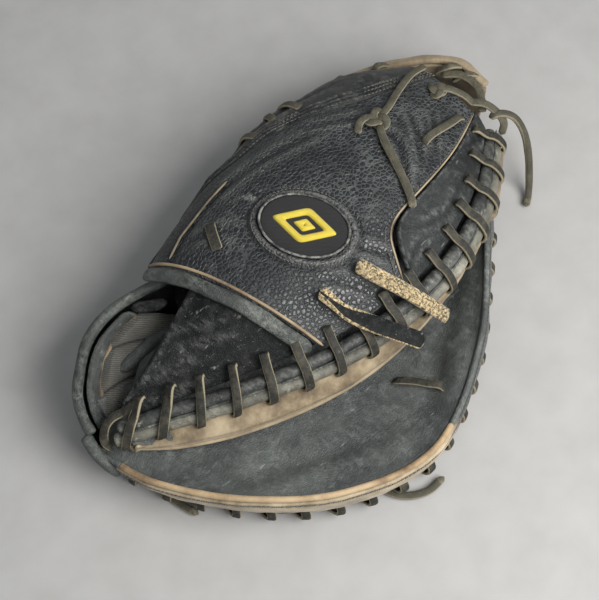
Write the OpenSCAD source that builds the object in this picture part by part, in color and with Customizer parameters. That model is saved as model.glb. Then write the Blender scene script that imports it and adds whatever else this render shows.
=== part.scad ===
// Baseball catcher's mitt, closed around its pocket and lying on the back of its finger half.
// +X runs from the heel to the tip of the web, +Y to the folded spine, and +Z up.
// The thumb half lies on top and opens about the fold of the palm.

/* [Leather] */
// Thickness of the outer leather
leather = 2.8; // [2:0.1:3]
// Thickness of the felt pads
pad = 10; // [6:1:11]
// Thickness of the soft lining
lining = 1.6; // [1:0.1:2]

/* [Rim] */
// Radius of each rolled welt on the rim
welt_r = 3.9; // [3:0.1:4.2]
// Radius of the cord inside the palm piping
piping_r = 1.8; // [1.5:0.1:2.6]
// Half the width of a rawhide lace
lace_r = 2.2; // [1.6:0.1:2.4]
// Stitches of lace along the rim of the thumb half
thumb_stitches = 16; // [10:1:20]
// Stitches of lace along the rim of the finger half
finger_stitches = 20; // [10:1:24]

/* [Hidden] */

// The palm folds about this line, which runs along X.
fold_y = 30;
fold_z = 44;
crease_r = 4.6;
clear = 0.4;

// Rim of the thumb half, where its back meets its side band
thumb_rim = [[-128, 4, 45], [-101, -11, 52], [-66, -30, 58], [-26, -48, 63],
    [18, -58, 65], [67, -57, 64], [113, -41, 61], [156, -10, 56]];
// Lower edge of the thumb half's side band, at the palm
thumb_edge = [[-128, -5, 36], [-106, -25, 37], [-74, -44, 38], [-30, -61, 40],
    [15, -68, 42], [66, -63, 45], [114, -46, 49], [157, -14, 50]];
// Rim of the finger half, along the palm's piping
finger_edge = [[-140, 6, 27], [-131, -30, 36], [-104, -72, 42], [-62, -108, 44],
    [-8, -124, 46], [55, -97, 45], [108, -53, 42], [158, -6, 40]];
// Rim of the finger half, where its back meets its side band
finger_rim = [[-128, 6, 11], [-119, -26, 11], [-95, -65, 11], [-56, -98, 11],
    [-6, -112, 11], [51, -91, 11], [104, -50, 11], [153, -7, 11]];
// Outermost line of the folded spine
spine = [[-124, 42, 40], [-104, 50, 44], [-70, 60, 46], [-32, 69, 48],
    [15, 81, 48], [65, 87, 48], [115, 80, 48], [158, 54, 48]];
// Height of the thumb half's back, halfway from rim to spine
crown = [52, 66, 80, 92, 95, 91, 82, 68];

/* Curves and surfaces */
function mix(a, b, u) = a + (b - a) * u;
function unit(v) = v / max(norm(v), 1e-9);
function catmull(a, b, c, d, u) =
    0.5 * (2 * b + (c - a) * u + (2 * a - 5 * b + 4 * c - d) * u * u + (3 * b - a - 3 * c + d) * u * u * u);
// Point at share t of the way along a list of points or of stations
function along(p, t) =
    let (n = len(p) - 1, x = min(max(t, 0), 1) * n, i = min(floor(x), n - 1))
    catmull(i > 0 ? p[i - 1] : 2 * p[0] - p[1], p[i], p[i + 1],
        i + 2 <= n ? p[i + 2] : 2 * p[n] - p[n - 1], x - i);
function bezier(c, s) =
    c[0] * pow(1 - s, 3) + c[1] * 3 * s * pow(1 - s, 2) + c[2] * 3 * s * s * (1 - s) + c[3] * pow(s, 3);
// A net is a list of stations, each of four control points across the mitt.
function on(net, t, s) = bezier(along(net, t), s);
function normal_at(net, t, s) =
    let (a = min(t + 0.01, 1), b = max(t - 0.01, 0), c = min(s + 0.01, 1), d = max(s - 0.01, 0))
    unit(cross(on(net, a, s) - on(net, b, s), on(net, t, c) - on(net, t, d)));
// Level direction from the middle of the mitt out through p
function outward(p) = unit([p[0] * 0.35, p[1] - 25, 0]);
function fold_at(p) = [p[0], fold_y, fold_z];

function thumb_back_station(i) =
    let (w = thumb_rim[i], s = spine[i], q = (crown[i] - (w[2] + s[2]) / 8) * 4 / 3)
    [w, [mix(w[0], s[0], 0.3), mix(w[1], s[1], 0.24), q], [s[0], s[1], q], s];
function finger_back_station(i) =
    let (w = finger_rim[i], s = spine[i])
    [w, [mix(w[0], s[0], 0.3), mix(w[1], s[1], 0.24), -11], [s[0], s[1], -11], s];
function thumb_palm_station(i) =
    let (w = thumb_edge[i], f = fold_at(spine[i]), rise = [2, 4, 9, 16, 18, 16, 13, 8][i])
    [w, [mix(w[0], f[0], 0.3), mix(w[1], f[1], 0.28), w[2] + rise],
        [mix(w[0], f[0], 0.7), mix(w[1], f[1], 0.75), f[2] + rise * 0.9], f];
function finger_palm_station(i) =
    let (w = finger_edge[i], f = fold_at(spine[i]), dip = [4, 8, 12, 14, 15, 15, 12, 8][i])
    [w, [mix(w[0], f[0], 0.2), mix(w[1], f[1], 0.2), w[2] - dip],
        [mix(w[0], f[0], 0.6), mix(w[1], f[1], 0.62), f[2] - dip * 1.9], f];
function band_station(top, foot, bulge) =
    let (o = outward(top))
    [top, top + o * bulge + [0, 0, -3], foot + o * bulge + [0, 0, 4], foot];

stations = [0:7];
thumb_back = [for (i = stations) thumb_back_station(i)];
finger_back_net = [for (i = stations) finger_back_station(i)];
thumb_palm_net = [for (i = stations) thumb_palm_station(i)];
finger_palm_net = [for (i = stations) finger_palm_station(i)];
thumb_band_net = [for (i = stations)
    let (w = thumb_rim[i]) band_station(w + outward(w) * 6 + [0, 0, -9], thumb_edge[i], 4)];
finger_band_net = [for (i = stations)
    let (w = finger_edge[i]) band_station(w + outward(w) * 2 + [0, 0, -3],
        finger_rim[i] + outward(w) * 10 + [0, 0, 2], 4)];

// The web wraps round the tip from the thumb half to the finger half.
web_net = [
    [[88, 85, 14], [88, 91, 22], [88, 91, 30], [88, 89, 38]],
    [[127, 78, 10], [130, 84, 20], [130, 84, 30], [128, 81, 40]],
    [[157, 60, 9], [163, 64, 22], [164, 64, 33], [162, 62, 44]],
    [[173, 36, 9], [180, 39, 22], [182, 40, 36], [181, 40, 48]],
    [[172, 12, 11], [180, 13, 22], [182, 14, 36], [182, 15, 48]]];
// The collar stands round the wrist opening and closes the heel.
collar_net = [
    [[-46, 44, 7], [-46, 50, 18], [-46, 51, 40], [-46, 46, 60]],
    [[-82, 48, 7], [-83, 59, 18], [-84, 60, 40], [-83, 55, 58]],
    [[-106, 43, 7], [-109, 54, 16], [-111, 55, 36], [-108, 51, 54]],
    [[-120, 31, 7], [-126, 40, 16], [-129, 41, 32], [-127, 38, 48]],
    [[-126, 20, 7], [-134, 26, 15], [-137, 27, 28], [-136, 25, 42]],
    [[-128, 10, 7], [-136, 14, 13], [-140, 15, 24], [-139, 14, 37]]];

// The facing lies inside the collar's top edge, between it and the lining.
facing_net = [for (i = [1:5])
    let (p = collar_net[i][3], d = unit([-40 - p[0], 14 - p[1], 0]))
    [p + d * 4.5 + [0, 0, -1.5], p + d * 7 + [0, 0, 1], p + d * 11 + [0, 0, -1],
        p + d * 14 + [0, 0, -6]]];

// Skin of a net between two depths under its surface. The patch lies between two routes of
// [t, s] points, foot and head. A depth is a number or a function of t and s. side is 1 or -1
// for the side of the net that faces out, and low0 and low1 are the lowest heights.
module skin(net, foot, head, d0, d1, side = 1, nt = 18, ns = 7, low0 = -1e3, low1 = -1e3) {
    function place(i, j) = mix(step(foot, i / nt), step(head, i / nt), j / ns);
    function depth(d, a) = is_num(d) ? d : d(a[0], a[1]);
    function point(i, j, d, low) =
        let (a = place(i, j), p = on(net, a[0], a[1]) - normal_at(net, a[0], a[1]) * side * depth(d, a))
        [p[0], p[1], max(p[2], low)];
    w = ns + 1;
    layer = (nt + 1) * w;
    points = concat([for (i = [0:nt], j = [0:ns]) point(i, j, d0, low0)],
        [for (i = [0:nt], j = [0:ns]) point(i, j, d1, low1)]);
    cells = [for (i = [0:nt - 1], j = [0:ns - 1]) i * w + j];
    rim = concat([for (i = [0:nt - 1]) [i * w, (i + 1) * w]],
        [for (j = [0:ns - 1]) [nt * w + j, nt * w + j + 1]],
        [for (i = [nt:-1:1]) [i * w + ns, (i - 1) * w + ns]],
        [for (j = [ns:-1:1]) [j, j - 1]]);
    faces = concat(
        [for (c = cells) each [[c, c + w + 1, c + w], [c, c + 1, c + w + 1]]],
        [for (c = cells) each [[layer + c, layer + c + w, layer + c + w + 1],
            [layer + c, layer + c + w + 1, layer + c + 1]]],
        [for (e = rim) each [[e[0], e[1], layer + e[1]], [e[0], layer + e[1], layer + e[0]]]]);
    polyhedron(points, side > 0 ? faces : [for (f = faces) [f[2], f[1], f[0]]]);
}
// Straight route between two [t, s] corners, or through a list of them
function step(p, u) =
    let (n = len(p) - 1, x = u * n, i = min(floor(x), n - 1)) mix(p[i], p[i + 1], x - i);
// Foot and head of a plain rectangular patch
function row(t0, t1, s) = [[t0, s], [t1, s]];
// A pad is full in the middle and thins to its edges.
function puff(t, s) = pow(max(sin(180 * t) * sin(180 * s), 0), 0.6);
pad_foot = function(t, s) leather + clear;
pad_head = function(t, s) leather + clear + pad * puff(t, s);
lining_foot = function(t, s) pad_head(t, s) + clear;
lining_head = function(t, s) lining_foot(t, s) + lining;

// Round cord of radius r swept along a list of points. flat squashes its section in height.
module cord(path, r, sides = 8, flat = 1) {
    n = len(path) - 1;
    function tangent(i) = unit(path[min(i + 1, n)] - path[max(min(i, n) - 1, 0)]);
    // Each ring's level direction is the last ring's, turned with the path.
    frames = [for (i = 0, a = unit(cross(tangent(0), abs(tangent(0)[2]) > 0.9 ? [0, 1, 0] : [0, 0, 1]));
        i <= n; i = i + 1, a = unit(a - tangent(i) * (a * tangent(i)))) a];
    points = [for (i = [0:n], k = [0:sides - 1])
        let (a = frames[i], b = cross(a, tangent(i)))
        path[i] + (a * cos(k * 360 / sides) + b * sin(k * 360 / sides) * flat) * r];
    faces = concat([[for (k = [0:sides - 1]) k]], [[for (k = [sides - 1:-1:0]) n * sides + k]],
        [for (i = [0:n - 1], k = [0:sides - 1]) let (m = (k + 1) % sides)
            each [[i * sides + k, (i + 1) * sides + k, (i + 1) * sides + m],
                [i * sides + k, (i + 1) * sides + m, i * sides + m]]]);
    polyhedron(points, [for (f = faces) [for (k = [len(f) - 1:-1:0]) f[k]]]);
}
function smooth_path(p, n) = [for (i = [0:n]) along(p, i / n)];

// Table from the length run along a line to the share t of it
function lengths(line, n = 60) =
    [for (i = 0, c = 0; i <= n;
        c = c + norm(along(line, (i + 1) / n) - along(line, i / n)), i = i + 1) [c, i / n]];
// Whip stitches: rings of lace round the rim, evenly spaced along it
module stitches(line, count, ring_r, centre, from = 0.03, to = 0.97) {
    run = lengths(line);
    whole = run[len(run) - 1][0];
    for (i = [0:count - 1]) {
        t = lookup(whole * mix(from, to, i / (count - 1)), run);
        p = along(line, t);
        q = unit(along(line, t + 0.01) - along(line, t - 0.01));
        o = unit(cross(q, [0, 0, 1]));
        u = cross(o, q);
        c = p + outward(p) * centre[0] + [0, 0, centre[1]];
        multmatrix([
            [o[0], u[0], q[0], c[0]],
            [o[1], u[1], q[1], c[1]],
            [o[2], u[2], q[2], c[2]],
            [0, 0, 0, 1]])
            rotate_extrude($fn = 32) translate([ring_r, 0]) circle(r = lace_r, $fn = 16);
    }
}
function rim_path(line, out, up, n = 40) =
    [for (i = [0:n]) let (p = along(line, i / n)) p + outward(p) * out + [0, 0, up]];

// The wrist strap's free edge runs from the rim to the spine.
strap_foot = [0.446, 0.05];
strap_head = [0.335, 0.8];
// Seams of the thumb half's back: one bounds the tip panel and one the strip on the spine.
tip_seam = [[0.635, 0.05], [0.652, 0.14], [0.672, 0.205], [0.705, 0.232], [0.77, 0.232],
    [0.87, 0.218], [0.99, 0.2]];
spine_seam = [[0.46, 0.93], [0.55, 0.83], [0.6, 0.775], [0.66, 0.745], [0.72, 0.69], [0.785, 0.63],
    [0.835, 0.59], [0.91, 0.575], [0.985, 0.57]];
// Free edge of the leather at the thumb's base, along the wrist opening
base_edge = [[0.045, 0.25], [0.13, 0.34], [0.228, 0.438], [0.34, 0.527], [0.39, 0.56]];
seam_gap = [0, 0.004];

black = [0.13, 0.15, 0.16];
slate = [0.2, 0.23, 0.24];
tan_leather = [0.62, 0.5, 0.36];
rawhide = [0.33, 0.31, 0.25];

module finger_palm() color(slate)
    skin(finger_palm_net, row(0.01, 0.99, 0.01), row(0.01, 0.99, 0.9), 0, leather, nt = 22, ns = 9);
module finger_pad() color("tan")
    skin(finger_palm_net, row(0.06, 0.94, 0.12), row(0.06, 0.94, 0.82), pad_foot, pad_head,
        nt = 14, ns = 6, low0 = 8, low1 = 7);
module finger_lining() color("dimgray")
    skin(finger_palm_net, row(0.08, 0.92, 0.15), row(0.08, 0.92, 0.8), lining_foot, lining_head,
        nt = 12, ns = 5, low0 = 6, low1 = 4.5);
module finger_back() color(black)
    skin(finger_back_net, row(0.02, 0.99, 0.03),
        [[0.02, 0.72], [0.33, 0.7], [0.66, 0.66], [0.99, 0.66]], 0, leather,
        side = -1, nt = 20, ns = 8, low0 = 0, low1 = 2.4);
module finger_stalls() color(slate)
    for (k = [0:3]) cord(smooth_path([[-70 + 10 * k, 44 - 26 * k, 8], [0, 46 - 28 * k, 8],
        [70, 48 - 26 * k, 8], [128 - 4 * k, 40 - 18 * k, 9]], 14), 3.4);
module finger_side_band() color(tan_leather)
    skin(finger_band_net, row(0.01, 0.99, 0.02), row(0.01, 0.99, 0.98), 0, leather, side = -1,
        nt = 24, ns = 4);
module finger_piping() color([0.72, 0.55, 0.36])
    cord(rim_path(finger_edge, 1, 0.5), piping_r);
module finger_welts() color(black) {
    cord(rim_path(finger_rim, 6, 0.4), welt_r);
    cord(rim_path(finger_rim, -0.9, -6), welt_r);
}
module finger_rim_lace() color(rawhide)
    stitches(finger_rim, finger_stitches, 7.6, [2.8, -0.8]);
module palm_crease() color(slate)
    translate([-100, fold_y, fold_z]) rotate([0, 90, 0]) cylinder(r = crease_r, h = 246, $fn = 40);
module spine_gusset() color("dimgray") {
    r = [24, 27, 31, 34, 38, 36, 29, 17];
    n = 14;
    profile = [for (i = [0:n]) let (t = i / n) [along(r, t), mix(-60, 150, t)]];
    translate([0, fold_y, fold_z]) rotate([0, 90, 0]) rotate([0, 0, -8])
        rotate_extrude(angle = 150, $fn = 60)
            polygon(concat(profile, [for (i = [n:-1:0]) profile[i] - [lining, 0]]));
}
module wrist_collar() color(black)
    skin(collar_net, row(0, 1, 0.03), row(0, 1, 0.97), 0, leather, side = -1, nt = 18, ns = 6);
module wrist_binding() color(slate)
    cord([for (i = [0:24]) on(collar_net, i / 24, 1) + [0, 0, 2.6]], 3);
module wrist_lining() color([0.36, 0.34, 0.3])
    skin(collar_net, row(0.03, 0.97, 0.2), row(0.03, 0.97, 0.9), leather + clear, leather + clear + 4,
        side = -1, nt = 14, ns = 4);
module wrist_facing() color(black)
    skin(facing_net, row(0.02, 0.98, 0), row(0.02, 0.98, 1), 0, 2.2, nt = 18, ns = 4);
module heel_welt() color(slate)
    cord(smooth_path([[-139, -8, 20], [-142, -1, 26], [-143, 8, 32], [-142, 16, 39]], 10), 3.4);
module web() color(tan_leather)
    skin(web_net, row(0, 1, 0.02), row(0, 1, 0.98), 0, leather + 0.6, side = -1, nt = 14, ns = 6);
module web_binding() color([0.76, 0.64, 0.45])
    cord([for (i = [0:20]) on(web_net, i / 20, 1) + [0, 0, 2.4]], 2.8);

// A flat lace laid through two holes in the palm
module palm_tie() color(rawhide)
    cord(
        smooth_path([[7, -78, 32], [8, -81, 36], [12, -87, 39], [16, -94, 41], [20, -100, 42],
            [22, -103, 38]], 12),
        lace_r, flat = 0.6);

// Leather loops inside the hand's space that the little finger and the thumb pass through
// Cloth ring a finger goes through, open along X
module loop_ring()
    rotate([0, 90, 0])
        rotate_extrude($fn = 40)
            translate([8, 0])
                square([2, 9], center = true);
module finger_loop() color(rawhide)
    translate([20, 50, 13])
        loop_ring();
module thumb_loop() color(rawhide)
    translate([52, -8, 74])
        loop_ring();

module thumb_palm() color(slate)
    skin(thumb_palm_net, row(0.01, 0.99, 0.02), row(0.01, 0.99, 0.9),
        0, leather, side = -1, nt = 22, ns = 9);
module thumb_pad() color("tan")
    skin(thumb_palm_net, row(0.2, 0.9, 0.36), row(0.2, 0.9, 0.76), pad_foot, pad_head,
        side = -1, nt = 14, ns = 6);
module thumb_lining() color("dimgray")
    skin(thumb_palm_net, row(0.24, 0.88, 0.4), row(0.24, 0.88, 0.73), lining_foot, lining_head,
        side = -1, nt = 12, ns = 5);
module thumb_base_panel() color(black)
    skin(thumb_back, [[0.02, 0.05], strap_foot + [0.04, 0]], base_edge,
        leather + clear, leather * 1.8 + clear, nt = 12, ns = 6);
module back_panel() color([0.1, 0.12, 0.15])
    skin(thumb_back, concat([strap_foot], tip_seam), concat([strap_head], spine_seam), 0, leather,
        nt = 20, ns = 12);
module thumb_tip_panel() color(slate)
    skin(thumb_back, row(0.65, 0.99, 0.05), [for (p = tip_seam) p - seam_gap + [0.008, 0]], 0,
        leather, nt = 12, ns = 4);
module thumb_edge_strip() color(slate)
    skin(thumb_back, [for (p = spine_seam) p + seam_gap], [[0.47, 0.965], [0.985, 0.95]], 0, leather,
        nt = 15, ns = 5);
module thumb_side_band() color(tan_leather)
    skin(thumb_band_net, row(0.03, 0.97, 0.02), row(0.03, 0.97, 0.98), 0, leather, side = -1,
        nt = 24, ns = 4);
module thumb_piping() color([0.72, 0.55, 0.36])
    cord(rim_path(thumb_edge, 0.5, -1.2), piping_r);
module thumb_welts() color(slate) {
    cord(rim_path(thumb_rim, 0, 0.6), welt_r);
    cord(rim_path(thumb_rim, 5, -5.6), welt_r);
}
module thumb_rim_lace() color(rawhide)
    stitches(thumb_rim, thumb_stitches, 9, [1.4, -2.6]);
// Point over the strap's free edge, a little past it in t and standing off by rise
function strap_edge(j, past, rise) =
    let (a = mix(strap_foot, strap_head, j / 12))
    on(thumb_back, a[0] + past, a[1]) + normal_at(thumb_back, a[0], a[1]) * rise;
module strap_binding() color(slate)
    cord([for (j = [0:12]) strap_edge(j, -0.016, -1)], 4, flat = 0.7);
module strap_piping() color([0.72, 0.6, 0.42])
    cord([for (j = [0:12]) strap_edge(j, 0.008, 1.7)], 1.2, sides = 6);
module pull_tab() color(rawhide)
    cord([for (j = [-3:3]) on(thumb_back, 0.453 + j * 0.004, 0.6 + j * 0.013)
        + normal_at(thumb_back, 0.453, 0.6) * (2.6 - abs(j) * 0.8)], 3.4, flat = 0.4);
module badge() color("black") oval(0.57, 0.398, 25.5, 18.5, 1.2);
module badge_emblem() color("gold") oval(0.57, 0.398, 19.5, 12, 2.2);
// Oval plate on the thumb half's back at [t, s], turned to lie level across the mitt
module oval(t, s, a, b, h) {
    p = on(thumb_back, t, s);
    n = normal_at(thumb_back, t, s);
    x = unit(cross([0.857, 0.514, 0], n));
    y = cross(n, x);
    multmatrix([
        [x[0], y[0], n[0], p[0]],
        [x[1], y[1], n[1], p[1]],
        [x[2], y[2], n[2], p[2]],
        [0, 0, 0, 1]])
        linear_extrude(height = h) resize([2 * a, 2 * b]) circle(r = a, $fn = 40);
}
module knot(p, r)
    translate(p)
        rotate([70, 0, 30])
            rotate_extrude($fn = 32)
                translate([r, 0])
                    circle(r = lace_r, $fn = 16);
module crease_knot() color(rawhide) knot([97, 28, 88.5], 4);
module tip_knot() color(rawhide) knot([143, 23, 76], 4);
module strap_upper() color([0.55, 0.45, 0.28])
    cord(
        smooth_path([[21, -31, 92], [26, -42, 87], [33, -55, 80], [40, -69, 71], [46, -80, 62]], 10),
        4.6, flat = 0.35);
module strap_lower() color([0.2, 0.2, 0.2])
    cord(
        smooth_path([[-5, -29, 92], [-3, -37, 88], [0, -46, 83], [8, -58, 77], [16, -71, 73],
            [24, -82, 67]], 10),
        4.6, flat = 0.35);

// Free ends of the laces
web_tail_route = [[160, -5, 60], [167, -9, 61], [173, -15, 56], [176, -22, 43], [175, -29, 27],
    [171, -36, 11], [166, -41, 4], [160, -45, 3]];
crease_tail_route = [[94, 24, 91], [88, 13, 91], [84, 2, 90.5], [79, -11, 89], [75, -20, 87.5],
    [71, -26, 86.5]];
rim_tail_route = [[-37, -106, 4], [-35, -114, 3], [-31, -122, 3], [-25, -128, 3], [-16, -132, 3],
    [-5, -132, 3]];
heel_tail_route = [[-117, -22, 5], [-123, -28, 4], [-125, -36, 3], [-121, -51, 3]];
module web_tail() color(rawhide) cord(smooth_path(web_tail_route, 12), lace_r);
module crease_tail() color(rawhide) cord(smooth_path(crease_tail_route, 10), lace_r);
module rim_tail() color(rawhide) cord(smooth_path(rim_tail_route, 8), lace_r);
module heel_tail() color(rawhide) cord(smooth_path(heel_tail_route, 8), lace_r);

finger_palm();
finger_pad();
finger_lining();
finger_back();
finger_stalls();
finger_side_band();
finger_piping();
finger_welts();
finger_rim_lace();
palm_crease();
spine_gusset();
wrist_collar();
wrist_binding();
wrist_lining();
wrist_facing();
heel_welt();
web();
web_binding();
palm_tie();
finger_loop();
thumb_palm();
thumb_pad();
thumb_lining();
thumb_base_panel();
back_panel();
thumb_tip_panel();
thumb_edge_strip();
thumb_side_band();
thumb_piping();
thumb_welts();
thumb_rim_lace();
strap_binding();
strap_piping();
pull_tab();
badge();
badge_emblem();
thumb_loop();
crease_knot();
tip_knot();
strap_upper();
strap_lower();
web_tail();
crease_tail();
rim_tail();
heel_tail();
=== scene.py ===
import math

import bmesh
import bpy
import numpy as np
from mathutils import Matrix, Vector


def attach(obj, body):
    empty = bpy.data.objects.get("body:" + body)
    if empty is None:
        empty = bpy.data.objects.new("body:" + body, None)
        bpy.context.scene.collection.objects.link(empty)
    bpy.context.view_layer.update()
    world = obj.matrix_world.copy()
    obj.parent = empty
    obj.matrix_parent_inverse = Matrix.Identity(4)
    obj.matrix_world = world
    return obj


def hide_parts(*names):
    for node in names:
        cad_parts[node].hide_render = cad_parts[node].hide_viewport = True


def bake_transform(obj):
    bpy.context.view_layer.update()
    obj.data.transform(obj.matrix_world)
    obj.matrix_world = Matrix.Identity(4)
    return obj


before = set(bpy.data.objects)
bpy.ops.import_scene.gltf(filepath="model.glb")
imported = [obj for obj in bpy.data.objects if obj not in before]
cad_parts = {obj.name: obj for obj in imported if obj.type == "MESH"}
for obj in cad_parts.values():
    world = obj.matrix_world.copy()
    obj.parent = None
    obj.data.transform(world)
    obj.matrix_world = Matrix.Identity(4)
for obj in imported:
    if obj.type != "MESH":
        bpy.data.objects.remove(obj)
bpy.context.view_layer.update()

# The looks of a worn catcher's mitt, folded shut and lying on the back of its finger half.
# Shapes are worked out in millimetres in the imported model's frame and made in metres.
MM = 0.001
FINGER = "finger_half"
THUMB = "thumb_half"

CAMERA_TURN = math.radians(-44)
CAMERA_RISE = math.radians(64)
CAMERA_AWAY = 0.9
CAMERA_LENS = 93.9
MITT_MIDDLE = Vector((0, 0, 0.045))
AIM_RIGHT = 0.0055
AIM_DOWN = 0.0058
LAMP_AIM = Vector((0, 0, 0.03))
ROOM_LIGHT = 0.35
ROOM_TINT = (0.93, 0.96, 1.0, 1)
FLOOR_REACH = 3.0
FLOOR_DARK = (0.35, 0.345, 0.335)
FLOOR_LIGHT = (0.385, 0.38, 0.37)


# ---------------------------------------------------------------- camera, light and floor
def place_object(name, data, place, facing):
    """Links an object that looks along minus facing."""
    thing = bpy.data.objects.new(name, data)
    thing.location = place
    thing.rotation_euler = facing.to_track_quat("Z", "Y").to_euler()
    bpy.context.collection.objects.link(thing)
    return thing


def lamp(name, place, size, power, tint):
    light = bpy.data.lights.new(name, "AREA")
    light.shape = "RECTANGLE"
    light.size = size[0]
    light.size_y = size[1]
    light.energy = power
    light.color = tint
    place_object(name, light, place, Vector(place) - LAMP_AIM)


def set_stage():
    across = math.cos(CAMERA_RISE)
    back = Vector((math.sin(CAMERA_TURN) * across, -math.cos(CAMERA_TURN) * across, math.sin(CAMERA_RISE)))
    right = Vector((math.cos(CAMERA_TURN), math.sin(CAMERA_TURN), 0))
    target = MITT_MIDDLE + right * AIM_RIGHT - back.cross(right) * AIM_DOWN
    lens = bpy.data.cameras.new("camera")
    lens.lens = CAMERA_LENS
    lens.sensor_width = 36
    lens.clip_start = 0.01
    scene = bpy.context.scene
    scene.camera = place_object("camera", lens, target + back * CAMERA_AWAY, back)
    lamp("window", (0.14, -0.62, 0.76), (0.75, 0.65), 15.5, (1.0, 0.99, 0.975))
    lamp("overhead", (-0.3, 0.1, 1.2), (0.7, 0.5), 0.5, (0.95, 0.98, 1.0))
    world = bpy.data.worlds.new("room")
    world.use_nodes = True
    background = world.node_tree.nodes["Background"]
    background.inputs["Color"].default_value = ROOM_TINT
    background.inputs["Strength"].default_value = ROOM_LIGHT
    scene.world = world
    scene.view_settings.view_transform = "Standard"

    sheet = bpy.data.meshes.new("floor")
    corners = [(x * FLOOR_REACH, y * FLOOR_REACH, 0) for x, y in ((-1, -1), (1, -1), (1, 1), (-1, 1))]
    sheet.from_pydata(corners, [], [(0, 1, 2, 3)])
    floor = bpy.data.objects.new("floor", sheet)
    bpy.context.collection.objects.link(floor)
    paint, nodes = new_material("floor_paint")
    noise = nodes.add("ShaderNodeTexNoise", Scale=260.0, Detail=4.0)
    nodes.shader(Base_Color=nodes.ramp(noise["Fac"], (0.3, FLOOR_DARK), (0.7, FLOOR_LIGHT)), Roughness=0.75)
    floor.data.materials.append(paint)


# ---------------------------------------------------------------- node helper
class Nodes:
    """Adds nodes to one material. Inputs are named with _ for spaces, and take a value or a socket."""

    def __init__(self, paint):
        self.tree = paint.node_tree
        self.tree.nodes.clear()

    def put(self, node, name, value):
        socket = name if not isinstance(name, str) else node.inputs[name.replace("_", " ")]
        if isinstance(value, bpy.types.NodeSocket):
            self.tree.links.new(value, socket)
        elif hasattr(socket.default_value, "__len__") and not hasattr(value, "__len__"):
            socket.default_value = [value] * len(socket.default_value)
        elif hasattr(socket.default_value, "__len__") and len(socket.default_value) == 4 and len(value) == 3:
            socket.default_value = (*value, 1)
        else:
            socket.default_value = value

    def add(self, kind, settings=None, **inputs):
        node = self.tree.nodes.new(kind)
        for name, value in (settings or {}).items():
            setattr(node, name, value)
        for name, value in inputs.items():
            self.put(node, name, value)
        return node.outputs

    def attribute(self, name):
        return self.add("ShaderNodeAttribute", {"attribute_name": name})

    def place(self, scale, stretch=(1, 1, 1)):
        """The rest position, in metres, times scale."""
        node = self.tree.nodes.new("ShaderNodeMapping")
        self.tree.links.new(self.attribute("rest")["Vector"], node.inputs["Vector"])
        node.inputs["Scale"].default_value = [scale * k for k in stretch]
        return node.outputs["Vector"]

    def noise(self, size, detail=3.0, rough=0.55, stretch=(1, 1, 1)):
        """Noise whose lumps are about size millimetres across."""
        at = self.place(1 / (size * MM), stretch)
        return self.add("ShaderNodeTexNoise", Vector=at, Scale=1.0, Detail=detail, Roughness=rough)["Fac"]

    def maths(self, op, a, b=0.0, clamp=False):
        node = self.tree.nodes.new("ShaderNodeMath")
        node.operation = op
        node.use_clamp = clamp
        self.put(node, node.inputs[0], a)
        self.put(node, node.inputs[1], b)
        return node.outputs[0]

    def remap(self, value, low, high, out_low=0.0, out_high=1.0):
        node = self.tree.nodes.new("ShaderNodeMapRange")
        node.interpolation_type = "SMOOTHSTEP"
        self.put(node, "Value", value)
        for name, limit in (("From Min", low), ("From Max", high), ("To Min", out_low), ("To Max", out_high)):
            node.inputs[name].default_value = limit
        return node.outputs["Result"]

    def mix(self, factor, a, b, mode="MIX"):
        node = self.tree.nodes.new("ShaderNodeMix")
        node.data_type = "RGBA"
        node.blend_type = mode
        self.put(node, node.inputs["Factor"], factor)
        self.put(node, node.inputs[6], a)
        self.put(node, node.inputs[7], b)
        return node.outputs[2]

    def ramp(self, value, *stops):
        node = self.tree.nodes.new("ShaderNodeValToRGB")
        while len(node.color_ramp.elements) < len(stops):
            node.color_ramp.elements.new(0.5)
        for element, (place, colour) in zip(node.color_ramp.elements, stops):
            element.position = place
            element.color = (*colour, 1)
        self.put(node, "Fac", value)
        return node.outputs["Color"]

    def bump(self, height, depth, normal=None):
        """Bump of the given depth in millimetres."""
        node = self.tree.nodes.new("ShaderNodeBump")
        node.inputs["Strength"].default_value = 1.0
        node.inputs["Distance"].default_value = depth * MM
        self.put(node, "Height", height)
        if normal is not None:
            self.put(node, "Normal", normal)
        return node.outputs["Normal"]

    def shader(self, **inputs):
        out = self.tree.nodes.new("ShaderNodeOutputMaterial")
        bsdf = self.tree.nodes.new("ShaderNodeBsdfPrincipled")
        for name, value in inputs.items():
            self.put(bsdf, name, value)
        self.tree.links.new(bsdf.outputs[0], out.inputs["Surface"])

    def cells(self, at, randomness):
        """Distance from the nearest border between cells."""
        return self.add("ShaderNodeTexVoronoi", {"feature": "DISTANCE_TO_EDGE"},
                        Vector=at, Scale=1.0, Randomness=randomness)["Distance"]

    def ribs(self, direction, pitch, **look):
        """Parallel ribs about pitch millimetres apart."""
        return self.add("ShaderNodeTexWave", {"wave_type": "BANDS", "bands_direction": direction},
                        Vector=self.place(1 / (pitch * MM)), Scale=0.32, **look)["Fac"]

    def worn(self, colour, tint, patch, low, high):
        """Turns colour to tint in patches, as far as the wear attribute says."""
        wear = self.maths("MULTIPLY", self.attribute("wear")["Fac"], self.remap(patch, low, high), True)
        return self.mix(wear, colour, tint)

    # painted shade: darkens colour towards tint in creases, grooves, pinches and folds, and along a few dark
    # seam lines
    def with_shade_and_seam_lines(self, colour, tint):
        return self.mix(self.attribute("dent")["Fac"], colour, tint)


# ---------------------------------------------------------------- materials
def grey(level, tint=(1.0, 1.0, 1.0)):
    return tuple(level * k for k in tint)


def new_material(name):
    paint = bpy.data.materials.new(name)
    paint.use_nodes = True
    return paint, Nodes(paint)


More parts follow.
